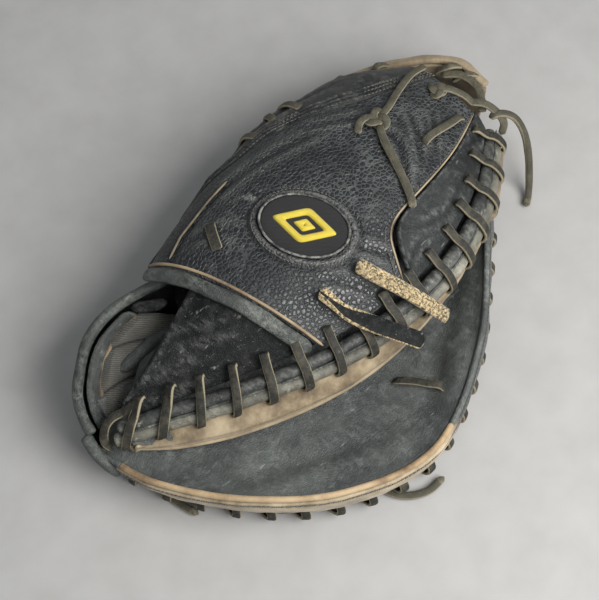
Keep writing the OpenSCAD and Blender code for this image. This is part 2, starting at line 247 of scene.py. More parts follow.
def smooth_leather(name, base, worn, dark, rough=0.45, dust=0.5, grain=0.16, gloss=0.35):
    """Old smooth leather: mottled, scuffed pale where it is worn, with painted shade in its creases."""
    paint, n = new_material(name)
    scuff = n.noise(5, 6.0, 0.7)
    fine = n.noise(1.1, 4.0, 0.7)
    streak = n.noise(9, 5.0, 0.7, (1.0, 0.25, 1.0))
    colour = n.mix(n.remap(n.noise(26, 4.0, 0.6), 0.35, 0.68), dark, base)
    film = n.maths("MULTIPLY", n.remap(scuff, 0.42, 0.72), n.remap(streak, 0.35, 0.7))
    colour = n.mix(n.maths("MULTIPLY", film, dust), colour, worn)
    speck = n.remap(n.noise(1.0, 2.0, 0.5), 0.66, 0.76, 0.0, 0.7)
    scratch = n.remap(n.noise(2.6, 4.0, 0.6, (0.16, 1.0, 1.0)), 0.61, 0.72, 0.0, 0.7)
    marks = n.maths("MULTIPLY", n.maths("MAXIMUM", speck, scratch), n.remap(scuff, 0.36, 0.62))
    colour = n.mix(marks, colour, worn)
    colour = n.worn(colour, worn, n.noise(3.0, 5.0, 0.72, (1.0, 0.4, 1.0)), 0.4, 0.68)
    # painted shade in creases, pinches and grooves, and dark seam lines, from the attribute
    colour = n.with_shade_and_seam_lines(colour, n.mix(0.65, colour, grey(0.004)))
    cells = n.cells(n.place(1 / (1.15 * MM)), 1.0)
    skin = n.maths("ADD", n.remap(cells, 0.0, 0.25), n.maths("MULTIPLY", fine, 1.6))
    normal = n.bump(n.noise(4.5, 4.0, 0.65), 0.5, n.bump(skin, grain))
    shine = n.remap(scuff, 0.3, 0.75, rough - 0.1, rough + 0.14)
    n.shader(Base_Color=colour, Roughness=shine, Normal=normal, Specular_IOR_Level=gloss)
    return paint


def pebbled_leather(name):
    """Glossy pebble grain: dark plates about 2.3 mm across, with dusty grooves where it is rubbed."""
    paint, n = new_material(name)
    warp = n.add("ShaderNodeTexNoise", Vector=n.place(1 / (6 * MM)), Scale=1.0, Detail=2.0)["Color"]
    at = n.mix(0.3, n.place(1 / (2.75 * MM), (1.0, 1.15, 1.0)), warp, "ADD")
    centre = n.add("ShaderNodeTexVoronoi", Vector=at, Scale=1.0, Randomness=0.85)
    plate = n.remap(n.cells(at, 0.85), 0.03, 0.2)
    rubbed = n.remap(n.noise(34, 3.0, 0.55), 0.4, 0.66)
    groove = n.mix(rubbed, (0.018, 0.021, 0.022), (0.062, 0.067, 0.065))
    pebble = n.mix(rubbed, (0.004, 0.005, 0.0065), (0.012, 0.0145, 0.017))
    pebble = n.mix(n.remap(centre["Color"], 0.2, 0.9, 0.0, 0.5), pebble, (0.006, 0.008, 0.012))
    colour = n.worn(n.mix(plate, groove, pebble), (0.2, 0.2, 0.185), n.noise(2.4, 5.0, 0.75), 0.3, 0.62)
    # painted shade: near black where the attribute marks creases and grooves
    colour = n.with_shade_and_seam_lines(colour, (0.007, 0.008, 0.009))
    dome = n.maths("SUBTRACT", 1.0, n.maths("MULTIPLY", centre["Distance"], 0.9))
    height = n.maths("ADD", n.maths("MULTIPLY", plate, 0.7), n.maths("MULTIPLY", dome, 0.45))
    height = n.maths("ADD", height, n.maths("MULTIPLY", n.noise(0.9, 3.0, 0.7), 0.12))
    shine = n.mix(plate, grey(0.7), n.remap(n.noise(16, 4.0, 0.6), 0.35, 0.7, 0.33, 0.52))
    n.shader(Base_Color=colour, Roughness=shine, Normal=n.bump(height, 0.6), Specular_IOR_Level=0.62)
    return paint


def lace_leather(name, middle, edge, speck):
    """Rawhide lace: a dark face and paler cut edges, read from the edge attribute."""
    paint, n = new_material(name)
    fine = n.maths("SUBTRACT", n.noise(0.9, 5.0, 0.75), 0.5)
    patch = n.noise(7, 4.0, 0.65)
    rim = n.maths("ADD", n.attribute("edge")["Fac"], n.maths("MULTIPLY", fine, 0.35))
    colour = n.mix(n.remap(patch, 0.42, 0.75, 0.0, 0.5), middle, n.mix(0.4, middle, edge))
    colour = n.mix(n.remap(rim, 0.78, 0.98), colour, edge)
    colour = n.mix(n.remap(n.noise(1.8, 5.0, 0.75), 0.58, 0.72), colour, speck)
    colour = n.worn(colour, edge, n.noise(2.0, 4.0, 0.7), 0.35, 0.6)
    normal = n.bump(n.noise(3.5, 3.0), 0.45, n.bump(n.noise(0.8, 5.0, 0.7, (1.0, 1.0, 0.6)), 0.22))
    shine = n.remap(patch, 0.3, 0.7, 0.5, 0.72)
    n.shader(Base_Color=colour, Roughness=shine, Normal=normal, Specular_IOR_Level=0.22)
    return paint


def suede(name, light, mid, dark):
    """Flesh side of a lace: napped and speckled."""
    paint, n = new_material(name)
    colour = n.ramp(n.noise(1.5, 6.0, 0.8), (0.44, dark), (0.5, mid), (0.57, light))
    colour = n.mix(n.remap(n.noise(6, 4.0, 0.6), 0.45, 0.7, 0.0, 0.5), colour, mid)
    normal = n.bump(n.noise(0.7, 6.0, 0.8), 0.45)
    # painted shade: the dark suede colour where the attribute says
    n.shader(Base_Color=n.with_shade_and_seam_lines(colour, dark), Roughness=0.92, Normal=normal, Sheen_Weight=0.3,
             Sheen_Roughness=0.5)
    return paint


def tan_leather(name, base, light, stain):
    """Blonde leather with a worn nap, stains and darker pores, dyed dark where the dyed attribute says so."""
    paint, n = new_material(name)
    fine = n.noise(0.8, 5.0, 0.75)
    rub = n.noise(4.0, 5.0, 0.7)
    colour = n.ramp(n.noise(20, 5.0, 0.62), (0.34, stain), (0.48, base), (0.66, light))
    colour = n.mix(n.remap(rub, 0.5, 0.75, 0.0, 0.45), colour, light)
    colour = n.mix(n.remap(fine, 0.55, 0.75, 0.0, 0.4), colour, n.mix(0.5, colour, stain))
    colour = n.mix(n.attribute("wear")["Fac"], colour, light)
    black = n.mix(n.remap(rub, 0.45, 0.75), (0.03, 0.033, 0.031), (0.085, 0.087, 0.08))
    colour = n.mix(n.attribute("dyed")["Fac"], colour, black)
    # painted shade where the band is pulled in or grooved, and dark stitch and seam lines, from the attribute
    colour = n.with_shade_and_seam_lines(colour, grey(0.02, (1.0, 0.9, 0.75)))
    normal = n.bump(rub, 0.35, n.bump(fine, 0.14))
    n.shader(Base_Color=colour, Roughness=0.72, Normal=normal, Sheen_Weight=0.15, Sheen_Roughness=0.5)
    return paint


def cloth(name, light, dark, pitch, sheen=0.2, rough=0.9):
    """Ribbed lining or felt: fine ribs over soft mottling."""
    paint, n = new_material(name)
    ribs = n.ribs("DIAGONAL", pitch, Distortion=2.6, Detail=3.0, Detail_Scale=1.4)
    colour = n.mix(ribs, dark, light)
    colour = n.mix(n.remap(n.noise(9, 5.0, 0.65), 0.3, 0.7, 0.0, 0.55), colour, dark)
    # painted shade in the folds between the lining's lobes, from the attribute
    colour = n.with_shade_and_seam_lines(colour, grey(0.01, (1.0, 0.95, 0.85)))
    normal = n.bump(n.noise(0.7, 4.0, 0.7), 0.2, n.bump(ribs, 0.4))
    n.shader(Base_Color=colour, Roughness=rough, Normal=normal, Sheen_Weight=sheen, Sheen_Roughness=0.5)
    return paint


def thread(name, colour, shade, pitch=0.7):
    """Stitching and satin-stitch thread: fine parallel strands."""
    paint, n = new_material(name)
    ribs = n.ribs("Y", pitch, Distortion=1.2, Detail=2.0)
    mix = n.mix(n.remap(ribs, 0.1, 0.8), shade, colour)
    mix = n.mix(n.remap(n.noise(3, 4.0, 0.6), 0.45, 0.75, 0.0, 0.5), mix, shade)
    n.shader(Base_Color=mix, Roughness=0.55, Normal=n.bump(ribs, 0.25), Sheen_Weight=0.3, Sheen_Roughness=0.3)
    return paint


PAINT = {
    "base": smooth_leather("leather_thumb_base", (0.013, 0.0145, 0.014), (0.24, 0.245, 0.23),
                           (0.006, 0.007, 0.0075), dust=0.17, gloss=0.12),
    "palm": smooth_leather("leather_palm", (0.088, 0.096, 0.09), (0.26, 0.28, 0.265), (0.05, 0.055, 0.053),
                           rough=0.42, dust=0.45, gloss=0.45),
    "tip": smooth_leather("leather_tip", (0.03, 0.033, 0.032), (0.18, 0.19, 0.18), (0.016, 0.018, 0.018),
                          rough=0.42, dust=0.3, gloss=0.2),
    "strip": smooth_leather("leather_strip", (0.03, 0.033, 0.031), (0.22, 0.22, 0.2), (0.016, 0.018, 0.018),
                            dust=0.45),
    "welt": smooth_leather("leather_welt", (0.04, 0.043, 0.041), (0.3, 0.3, 0.265), (0.016, 0.018, 0.018),
                           rough=0.38, dust=0.3, grain=0.08),
    "welt_olive": smooth_leather("leather_welt_olive", (0.17, 0.165, 0.132), (0.44, 0.42, 0.34),
                                 (0.07, 0.068, 0.056), rough=0.42, dust=0.4, grain=0.08),
    "collar": smooth_leather("leather_collar", (0.056, 0.063, 0.058), (0.24, 0.25, 0.22),
                             (0.024, 0.027, 0.026), rough=0.42, dust=0.4),
    "back": smooth_leather("leather_back", (0.035, 0.039, 0.04), (0.2, 0.2, 0.19), (0.018, 0.02, 0.022),
                           dust=0.35),
    "pebble": pebbled_leather("leather_pebbled"),
    "tan": tan_leather("leather_blonde", (0.2, 0.15, 0.088), (0.37, 0.295, 0.19), (0.105, 0.075, 0.043)),
    "cream": tan_leather("leather_cream", (0.31, 0.245, 0.15), (0.5, 0.41, 0.28), (0.14, 0.1, 0.055)),
    "piping": tan_leather("leather_piping", (0.27, 0.175, 0.09), (0.46, 0.34, 0.2), (0.1, 0.062, 0.03)),
    "lace": lace_leather("rawhide_dark", (0.016, 0.017, 0.016), (0.27, 0.235, 0.155), (0.09, 0.088, 0.076)),
    "lace_olive": lace_leather("rawhide_olive", (0.058, 0.055, 0.04), (0.25, 0.22, 0.15),
                               (0.16, 0.15, 0.115)),
    "suede": suede("suede_flesh", (0.62, 0.48, 0.26), (0.25, 0.19, 0.1), (0.016, 0.015, 0.012)),
    "lining": cloth("lining_ribbed", (0.165, 0.158, 0.13), (0.06, 0.058, 0.05), 0.95),
    "felt": cloth("felt_pad", (0.5, 0.44, 0.33), (0.3, 0.25, 0.18), 0.8),
    "twill": cloth("badge_twill", (0.02, 0.02, 0.021), (0.006, 0.006, 0.007), 0.6, sheen=0.05, rough=0.8),
    "yellow": thread("emblem_thread", (0.78, 0.64, 0.07), (0.5, 0.37, 0.028), 0.75),
    "stitch": thread("stitch_thread", (0.17, 0.17, 0.15), (0.04, 0.04, 0.036)),
}


# ---------------------------------------------------------------- the mitt's lines and nets
FOLD_Y = 30.0
FOLD_Z = 44.0
THUMB_RIM = [(-128, 4, 45), (-101, -11, 52), (-66, -30, 58), (-26, -48, 63),
             (18, -58, 65), (67, -57, 64), (113, -41, 61), (156, -10, 56)]
THUMB_EDGE = [(-128, -5, 36), (-106, -25, 37), (-74, -44, 38), (-30, -61, 40),
              (15, -68, 42), (66, -63, 45), (114, -46, 49), (157, -14, 50)]
FINGER_EDGE = [(-140, 6, 27), (-131, -30, 36), (-104, -72, 42), (-62, -108, 44),
               (-8, -124, 46), (55, -97, 45), (108, -53, 42), (158, -6, 40)]
FINGER_RIM = [(-128, 6, 11), (-119, -26, 11), (-95, -65, 11), (-56, -98, 11),
              (-6, -112, 11), (51, -91, 11), (104, -50, 11), (153, -7, 11)]
SPINE = [(-124, 42, 40), (-104, 50, 44), (-70, 60, 46), (-32, 69, 48),
         (15, 81, 48), (65, 87, 48), (115, 80, 48), (158, 54, 48)]
CROWN = [52, 66, 80, 92, 95, 91, 82, 68]
THUMB_PALM_RISE = [2, 4, 9, 16, 18, 16, 13, 8]
FINGER_PALM_DIP = [4, 8, 12, 14, 15, 15, 12, 8]
WEB_NET = [
    [(88, 85, 14), (88, 91, 22), (88, 91, 30), (88, 89, 38)],
    [(127, 78, 10), (130, 84, 20), (130, 84, 30), (128, 81, 40)],
    [(157, 60, 9), (163, 64, 22), (164, 64, 33), (162, 62, 44)],
    [(173, 36, 9), (180, 39, 22), (182, 40, 36), (181, 40, 48)],
    [(172, 12, 11), (180, 13, 22), (182, 14, 36), (182, 15, 48)]]
COLLAR_NET = [
    [(-46, 44, 7), (-46, 50, 18), (-46, 51, 40), (-46, 46, 60)],
    [(-82, 48, 7), (-83, 59, 18), (-84, 60, 40), (-83, 55, 58)],
    [(-106, 43, 7), (-109, 54, 16), (-111, 55, 36), (-108, 51, 54)],
    [(-120, 31, 7), (-126, 40, 16), (-129, 41, 32), (-127, 38, 48)],
    [(-126, 20, 7), (-134, 26, 15), (-137, 27, 28), (-136, 25, 42)],
    [(-128, 10, 7), (-136, 14, 13), (-140, 15, 24), (-139, 14, 37)]]


def unit(v):
    v = np.asarray(v, float)
    return v / np.maximum(np.linalg.norm(v, axis=-1, keepdims=True), 1e-9)


def mix(a, b, u):
    return np.asarray(a, float) * (1 - u) + np.asarray(b, float) * u


def along(points, t):
    """Catmull-Rom curve through points, or through whole stations, at shares t of the way."""
    p = np.asarray(points, float)
    t = np.asarray(t, float)
    n = len(p) - 1
    x = np.clip(t, 0, 1) * n
    i = np.minimum(x.astype(int), n - 1)
    u = (x - i).reshape(x.shape + (1,) * (p.ndim - 1))
    ends = np.concatenate([[2 * p[0] - p[1]], p, [2 * p[-1] - p[-2]]])
    a, b, c, d = ends[i], ends[i + 1], ends[i + 2], ends[i + 3]
    square = (2 * a - 5 * b + 4 * c - d) * u ** 2
    cube = (3 * b - a - 3 * c + d) * u ** 3
    return 0.5 * (2 * b + (c - a) * u + square + cube)


def on(net, t, s):
    """Point of a net: Bezier across, Catmull-Rom along."""
    c = along(net, t)
    s = np.asarray(s, float)[..., None]
    return (c[..., 0, :] * (1 - s) ** 3 + c[..., 1, :] * 3 * s * (1 - s) ** 2
            + c[..., 2, :] * 3 * s ** 2 * (1 - s) + c[..., 3, :] * s ** 3)


def normal_at(net, t, s):
    t = np.asarray(t, float)
    s = np.asarray(s, float)
    a, b = np.minimum(t + 0.01, 1), np.maximum(t - 0.01, 0)
    c, d = np.minimum(s + 0.01, 1), np.maximum(s - 0.01, 0)
    return unit(np.cross(on(net, a, s) - on(net, b, s), on(net, t, c) - on(net, t, d)))


def seam(places, count):
    """The [t, s] places of a seam, rounded into a smooth curve of count points."""
    return [tuple(p) for p in along(places, np.linspace(0, 1, count))]


STRAP_FOOT = (0.446, 0.05)
STRAP_HEAD = (0.335, 0.80)
TIP_SEAM = seam([(0.635, 0.05), (0.652, 0.14), (0.672, 0.205), (0.705, 0.232), (0.77, 0.232), (0.87, 0.218),
                 (0.99, 0.20)], 49)
SPINE_SEAM = seam([(0.46, 0.93), (0.55, 0.83), (0.60, 0.775), (0.66, 0.745), (0.72, 0.69), (0.785, 0.63),
                   (0.835, 0.59), (0.91, 0.575), (0.985, 0.57)], 49)
BASE_EDGE = seam([(0.045, 0.25), (0.13, 0.34), (0.228, 0.438), (0.34, 0.527), (0.39, 0.56)], 33)


def outward(p):
    p = np.asarray(p, float)
    return unit(np.stack([p[..., 0] * 0.35, p[..., 1] - 25, np.zeros(p.shape[:-1])], -1))


def station(i, kind):
    """The four columns of a net at station i, from its rim or edge to the fold or the spine."""
    s = np.array(SPINE[i], float)
    f = np.array([s[0], FOLD_Y, FOLD_Z])
    if kind == "thumb_back":
        w = np.array(THUMB_RIM[i], float)
        q = (CROWN[i] - (w[2] + s[2]) / 8) * 4 / 3
        return [w, (mix(w[0], s[0], 0.3), mix(w[1], s[1], 0.24), q), (s[0], s[1], q), s]
    if kind == "finger_back":
        w = np.array(FINGER_RIM[i], float)
        return [w, (mix(w[0], s[0], 0.3), mix(w[1], s[1], 0.24), -11), (s[0], s[1], -11), s]
    if kind == "thumb_palm":
        w, rise = np.array(THUMB_EDGE[i], float), THUMB_PALM_RISE[i]
        return [w, (mix(w[0], f[0], 0.3), mix(w[1], f[1], 0.28), w[2] + rise),
                (mix(w[0], f[0], 0.7), mix(w[1], f[1], 0.75), f[2] + rise * 0.9), f]
    if kind == "finger_palm":
        w, dip = np.array(FINGER_EDGE[i], float), FINGER_PALM_DIP[i]
        return [w, (mix(w[0], f[0], 0.2), mix(w[1], f[1], 0.2), w[2] - dip),
                (mix(w[0], f[0], 0.6), mix(w[1], f[1], 0.62), f[2] - dip * 1.9), f]
    if kind == "thumb_band":
        top = np.array(THUMB_RIM[i], float)
        top = top + outward(top) * 6 - (0, 0, 9)
        return band(top, np.array(THUMB_EDGE[i], float), 4)
    if kind == "finger_band":
        w = np.array(FINGER_EDGE[i], float)
        foot = np.array(FINGER_RIM[i], float)
        return band(w + outward(w) * 2 - (0, 0, 3), foot + outward(w) * 10 + (0, 0, 2), 4)
    if kind == "spine_wrap":
        t = i / 7
        a = on(THUMB_BACK, t, 0.94)
        b = on(FINGER_BACK, t, 0.72)
        return [a, (a[0], a[1] + 7, a[2] - 14), (a[0], b[1] + 24, 1), (b[0], b[1], max(b[2], 1.2))]


def band(top, foot, bulge):
    o = outward(top)
    return [top, top + o * bulge - (0, 0, 3), foot + o * bulge + (0, 0, 4), foot]


def net(kind):
    return np.array([[np.array(c, float) for c in station(i, kind)] for i in range(8)])


THUMB_BACK = net("thumb_back")
FINGER_BACK = net("finger_back")
THUMB_PALM = net("thumb_palm")
FINGER_PALM = net("finger_palm")
THUMB_BAND = net("thumb_band")
FINGER_BAND = net("finger_band")
SPINE_WRAP = net("spine_wrap")


def run_along(path):
    """Length of a path up to each of its points."""
    return np.concatenate([[0], np.cumsum(np.linalg.norm(np.diff(path, axis=0), axis=1))])


def evenly(line, count, start, end):
    """Shares of a line at equal steps of its length."""
    t = np.linspace(0, 1, 241)
    run = run_along(along(line, t))
    return np.interp(np.linspace(start, end, count) * run[-1], run, t)


# ---------------------------------------------------------------- noise for shapes
def lattice(i, j, k, seed):
    h = (i * 374761393 + j * 668265263 + k * 2147483647 + seed * 1274126177) & 0xFFFFFFFF
    h = ((h ^ (h >> 13)) * 1274126177) & 0xFFFFFFFF
    return ((h ^ (h >> 16)) & 0xFFFF) / 32767.5 - 1


def wobble(p, size, seed=0, detail=1):
    """Smooth noise from -1 to 1 whose lumps are about size millimetres, for points p."""
    total = np.zeros(p.shape[:-1])
    weight = 1.0
    for octave in range(detail):
        q = p / (size / 2 ** octave) + 19.7 * seed
        base = np.floor(q).astype(np.int64)
        f = q - base
        f = f * f * (3 - 2 * f)
        value = 0
        for a in (0, 1):
            for b in (0, 1):
                for c in (0, 1):
                    w = (np.where(a, f[..., 0], 1 - f[..., 0]) * np.where(b, f[..., 1], 1 - f[..., 1])
                         * np.where(c, f[..., 2], 1 - f[..., 2]))
                    corner = lattice(base[..., 0] + a, base[..., 1] + b, base[..., 2] + c, seed + octave)
                    value = value + w * corner
        total += value * weight
        weight *= 0.5
    return total


def distance_to(p, line):
    """Distance from each point p to a line of points, and the share of the line that is nearest."""
    line = np.asarray(line, float)
    best = np.full(p.shape[:-1], 1e9)
    share = np.zeros(p.shape[:-1])
    for i in range(len(line) - 1):
        a, b = line[i], line[i + 1]
        ab = b - a
        u = np.clip(((p - a) @ ab) / max(ab @ ab, 1e-9), 0, 1)
        d = np.linalg.norm(p - (a + u[..., None] * ab), axis=-1)
        near = d < best
        best = np.where(near, d, best)
        share = np.where(near, (i + u) / (len(line) - 1), share)
    return best, share


def bell(d, width):
    return np.exp(-(d / width) ** 2)


# ---------------------------------------------------------------- mesh building
class Shape:
    """Collects vertices and faces with their wear, their painted shade and seam lines, and their edge values,
    and makes one object.
    """

    def __init__(self):
        self.points = []
        self.faces = []
        self.values = {"wear": [], "dent": [], "edge": []}
        self.count = 0

    def add(self, points, faces, **values):
        points = np.asarray(points, float).reshape(-1, 3)
        self.points.append(points)
        self.faces += [tuple(self.count + k for k in f) for f in faces]
        for name, kept in self.values.items():
            kept.append(np.broadcast_to(np.ravel(values.get(name, 0.0)), len(points)))
        self.count += len(points)

    def make(self, name, paint, body, slot=None, node=""):
        """A piece with a slot stands for the CAD node of its own name, or for node. None is for no node."""
        points = np.concatenate(self.points) * MM
        mesh = bpy.data.meshes.new(name)
        mesh.from_pydata(points.tolist(), [], self.faces)
        bm = bmesh.new()
        bm.from_mesh(mesh)
        bmesh.ops.recalc_face_normals(bm, faces=bm.faces)
        bm.to_mesh(mesh)
        bm.free()
        mesh.polygons.foreach_set("use_smooth", [True] * len(mesh.polygons))
        for key, parts in self.values.items():
            layer = mesh.attributes.new(key, "FLOAT", "POINT")
            layer.data.foreach_set("value", np.clip(np.concatenate(parts), 0, 1))
        layer = mesh.attributes.new("rest", "FLOAT_VECTOR", "POINT")
        layer.data.foreach_set("vector", points.ravel())
        mesh.materials.append(PAINT[paint])
        piece = bpy.data.objects.new(name, mesh)
        bpy.context.collection.objects.link(piece)
        if slot and node == "":
            node = name
        if node:
            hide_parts(node)
        if body:
            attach(piece, body)
        return piece


def coordinates(mesh):
    points = np.empty(len(mesh.vertices) * 3)
    mesh.vertices.foreach_get("co", points)
    return points.reshape(-1, 3)


def dye(piece, amount):
    """Sets how dark a piece's blonde leather is dyed: a number, or a function of points in millimetres."""
    points = coordinates(piece.data) / MM
    level = amount(points) if callable(amount) else np.full(len(points), amount)
    layer = piece.data.attributes.new("dyed", "FLOAT", "POINT")
    layer.data.foreach_set("value", np.clip(level, 0, 1))


def grid_faces(rows, columns, start=0, wrap=False):
    faces = []
    last = columns if wrap else columns - 1
    for i in range(rows - 1):
        for j in range(last):
            k = (j + 1) % columns
            faces.append((start + i * columns + j, start + (i + 1) * columns + j,
                          start + (i + 1) * columns + k, start + i * columns + k))
    return faces


def route(points, u):
    """Points at shares u of the length of a line of [t, s] places."""
    points = np.asarray(points, float)
    run = run_along(points)
    return np.stack([np.interp(u * run[-1], run, points[:, k]) for k in (0, 1)], 1)


def row(t0, t1, s):
    return [(t0, s), (t1, s)]


def skin(shape, surface, foot, head, thick, side=1, nt=120, ns=60, lift=0.0, form=None, low=None, edge=1.3):
    """Adds a closed sheet of leather over a patch of a net to shape.

    form gets each point, its t and s and its distance from the border, and returns height, wear and painted
    shade with seam lines."""
    u = np.linspace(0, 1, nt + 1)
    v = np.linspace(0, 1, ns + 1)[None, :, None]
    place = route(foot, u)[:, None, :] * (1 - v) + route(head, u)[:, None, :] * v
    t, s = place[..., 0], place[..., 1]
    p = on(surface, t, s)
    n = normal_at(surface, t, s) * side
    step_i = np.linalg.norm(np.diff(p, axis=0), axis=-1)
    step_j = np.linalg.norm(np.diff(p, axis=1), axis=-1)
    run_i = np.concatenate([np.zeros((1, ns + 1)), np.cumsum(step_i, 0)])
    run_j = np.concatenate([np.zeros((nt + 1, 1)), np.cumsum(step_j, 1)], 1)
    border = np.minimum(np.minimum(run_i, run_i[-1] - run_i), np.minimum(run_j, run_j[:, -1:] - run_j))
    near = np.clip(border, 0, edge)
    height = np.full(t.shape, float(lift)) - (edge - np.sqrt(edge ** 2 - (edge - near) ** 2))
    wear = np.zeros(t.shape)
    dent = np.zeros(t.shape)
    if form:
        h, wear, dent = form(p, t, s, border, run_j)
        height = height + h
        wear = np.broadcast_to(wear, t.shape)
        dent = np.broadcast_to(dent, t.shape)
    outer = p + n * height[..., None]
    inner = p + n * (np.minimum(lift - thick, height - 0.8))[..., None]
    if low is not None:
        outer[..., 2] = np.maximum(outer[..., 2], low)
        inner[..., 2] = np.maximum(inner[..., 2], low + thick * 0.8)
    columns = ns + 1
    layer = (nt + 1) * columns
    faces = grid_faces(nt + 1, columns) + [f[::-1] for f in grid_faces(nt + 1, columns, layer)]
    rim = ([i * columns for i in range(nt + 1)] + [nt * columns + j for j in range(1, ns + 1)]
           + [i * columns + ns for i in range(nt - 1, -1, -1)] + list(range(ns - 1, 0, -1)))
    for a, b in zip(rim, rim[1:] + rim[:1]):
        faces.append((b, a, layer + a, layer + b))
    shape.add(np.concatenate([outer.reshape(-1, 3), inner.reshape(-1, 3)]), faces,
              wear=np.tile(wear.ravel(), 2), dent=np.tile(dent.ravel(), 2))


def frames_along(path, up):
    """Side and upright directions along a path. up is one direction or one for each point."""
    tangent = unit(np.gradient(path, axis=0))
    side = unit(np.cross(tangent, np.broadcast_to(np.asarray(up, float), path.shape)))
    return side, np.cross(side, tangent)


def strand(shape, path, width, thick, up=(0, 0, 1), sides=12, power=2.0, wear=0.0, taper=0.0, dent=0.0):
    """Adds a strand swept along path. power 2 is an oval section and 4 is a flat lace with rounded edges."""
    path = np.asarray(path, float)
    n = len(path)
    width = np.broadcast_to(np.asarray(width, float), n).copy()
    thick = np.broadcast_to(np.asarray(thick, float), n).copy()
    if taper:
        ends = np.minimum(np.arange(n), np.arange(n)[::-1]) / taper
        close = np.sqrt(np.clip(1 - (1 - np.clip(ends, 0, 1)) ** 2, 0.05, 1))
        width *= close
        thick *= close
    side, rise = frames_along(path, up)
    a = np.arange(sides) * 2 * math.pi / sides
    x = np.sign(np.cos(a)) * np.abs(np.cos(a)) ** (2 / power)
    y = np.sign(np.sin(a)) * np.abs(np.sin(a)) ** (2 / power)
    ring = (path[:, None, :] + side[:, None, :] * (x[None, :] * width[:, None] / 2)[..., None]
            + rise[:, None, :] * (y[None, :] * thick[:, None] / 2)[..., None])
    faces = grid_faces(n, sides, wrap=True)
    faces.append(tuple(range(sides))[::-1])
    faces.append(tuple((n - 1) * sides + k for k in range(sides)))
    wear, dent = (np.broadcast_to(np.reshape(value, (-1, 1)), (n, sides)) for value in (wear, dent))
    shape.add(ring, faces, edge=np.tile(np.abs(x), n), wear=wear, dent=dent)


def smooth(points, n):
    """A smooth curve of n steps through points."""
    return along(points, np.linspace(0, 1, n + 1))


STITCH_RISE = 0.15
STITCH_DIP = 0.55


def sewing(shape, line, up, pitch=2.6, length=1.7, width=0.75):
    """Adds a row of single stitches along a line of points. Their ends dip into the leather."""
    up = np.broadcast_to(up, line.shape)
    run = run_along(line)
    height = STITCH_RISE - STITCH_DIP * np.array([1, 0.15, 0, 0.15, 1])
    for c in np.arange(pitch / 2, run[-1], pitch):
        at = np.linspace(c - length / 2, c + length / 2, 5)
        p = np.stack([np.interp(at, run, line[:, k]) for k in range(3)], 1)
        n = unit(np.stack([np.interp(at, run, up[:, k]) for k in range(3)], 1))
        strand(shape, p + n * height[:, None], width, width, up=n, sides=6)


# ---------------------------------------------------------------- single pieces
def panel(name, paint, body, slot, surface, foot, head, thick, node="", **look):
    """One sheet of leather over a patch of a net."""
    shape = Shape()
    skin(shape, surface, foot, head, thick, **look)
    return shape.make(name, paint, body, slot, node)


def roll(name, paint, body, slot, path, width, thick, node="", **look):
    """One strand along a path."""
    shape = Shape()
    strand(shape, path, width, thick, **look)
    return shape.make(name, paint, body, slot, node)


def lace(name, paint, body, places, n, width, thick, slot="rawhide_lace", node=None, **look):
    """One flat lace with rounded ends along a smooth curve through places."""
    look = {"sides": 12, "power": 3.2, "taper": 1.5, "wear": 0.08, **look}
    return roll(name, paint, body, slot, smooth(places, n), width, thick, node, **look)


def uneven(path, size, seed, amount):
    """The path, wandering by amount millimetres in lumps of the given size."""
    return path + np.stack([wobble(path, size, seed + a) * amount for a in range(3)], -1)


def patches(path, level, swing, size, seed):
    """Wear that comes and goes along a path."""
    return np.clip(level + swing * wobble(path, size, seed), 0, 1)


# ---------------------------------------------------------------- free cords
TAIL_WIDTH = 4.6
WEB_TAIL = [(160, -5, 60), (167, -9, 61), (173, -15, 56), (176, -22, 43),
            (175, -29, 27), (171, -36, 11), (166, -41, 4), (160, -45, 3)]
CREASE_TAIL = [(94, 24, 91), (88, 13, 91), (84, 2, 90.5), (79, -11, 89), (75, -20, 87.5), (71, -26, 86.5)]
RIM_TAIL = [(-37, -106, 4), (-35, -114, 3), (-31, -122, 3), (-25, -128, 3), (-16, -132, 3), (-5, -132, 3)]
HEEL_TAIL = [(-117, -22, 5), (-123, -28, 4), (-125, -36, 3), (-121, -51, 3)]
STRAP_UPPER = [(21, -31, 92), (26, -42, 87), (33, -55, 80), (40, -69, 71), (46, -80, 62)]
STRAP_LOWER = [(-5, -29, 92), (-3, -37, 88), (0, -46, 83), (8, -58, 77), (16, -71, 73), (24, -82, 67)]


def make_tail(name, body, places, n, thick):
    """A loose end of olive lace, paler at its cut tip."""
    path = smooth(places, n)
    tip = np.linspace(0, 1, n + 1) > 0.9
    piece = roll(name, "lace_olive", body, "rawhide_lace", path, TAIL_WIDTH * (1 + 0.05 * wobble(path, 7, 3)),
                 thick * (1 + 0.1 * wobble(path, 5, 4)), sides=14, power=3.0, taper=1.6, wear=0.5 * tip)


set_stage()
make_tail("web_tail", THUMB, WEB_TAIL, 40, 3.6)
make_tail("crease_tail", THUMB, CREASE_TAIL, 34, 2.6)
make_tail("rim_tail", FINGER, RIM_TAIL, 30, 3.0)
make_tail("heel_tail", FINGER, HEEL_TAIL, 26, 3.0)


# ---------------------------------------------------------------- rims: welts and whip-stitched lace
WELT_RADIUS = 3.9
BEAD_WIDTH = 1.5
BEAD_STANDS = 2.2
TURN_WIDTH = 5.3
TURN_THICK = 2.3
THUMB_STITCHES = evenly(THUMB_RIM, 16, 0.03, 0.97)
FINGER_STITCHES = evenly(FINGER_RIM, 20, 0.03, 0.97)


def rim_line(line, out, up, n=240):
    p = along(line, np.linspace(0, 1, n + 1))
    return p + outward(p) * out + (0, 0, up)


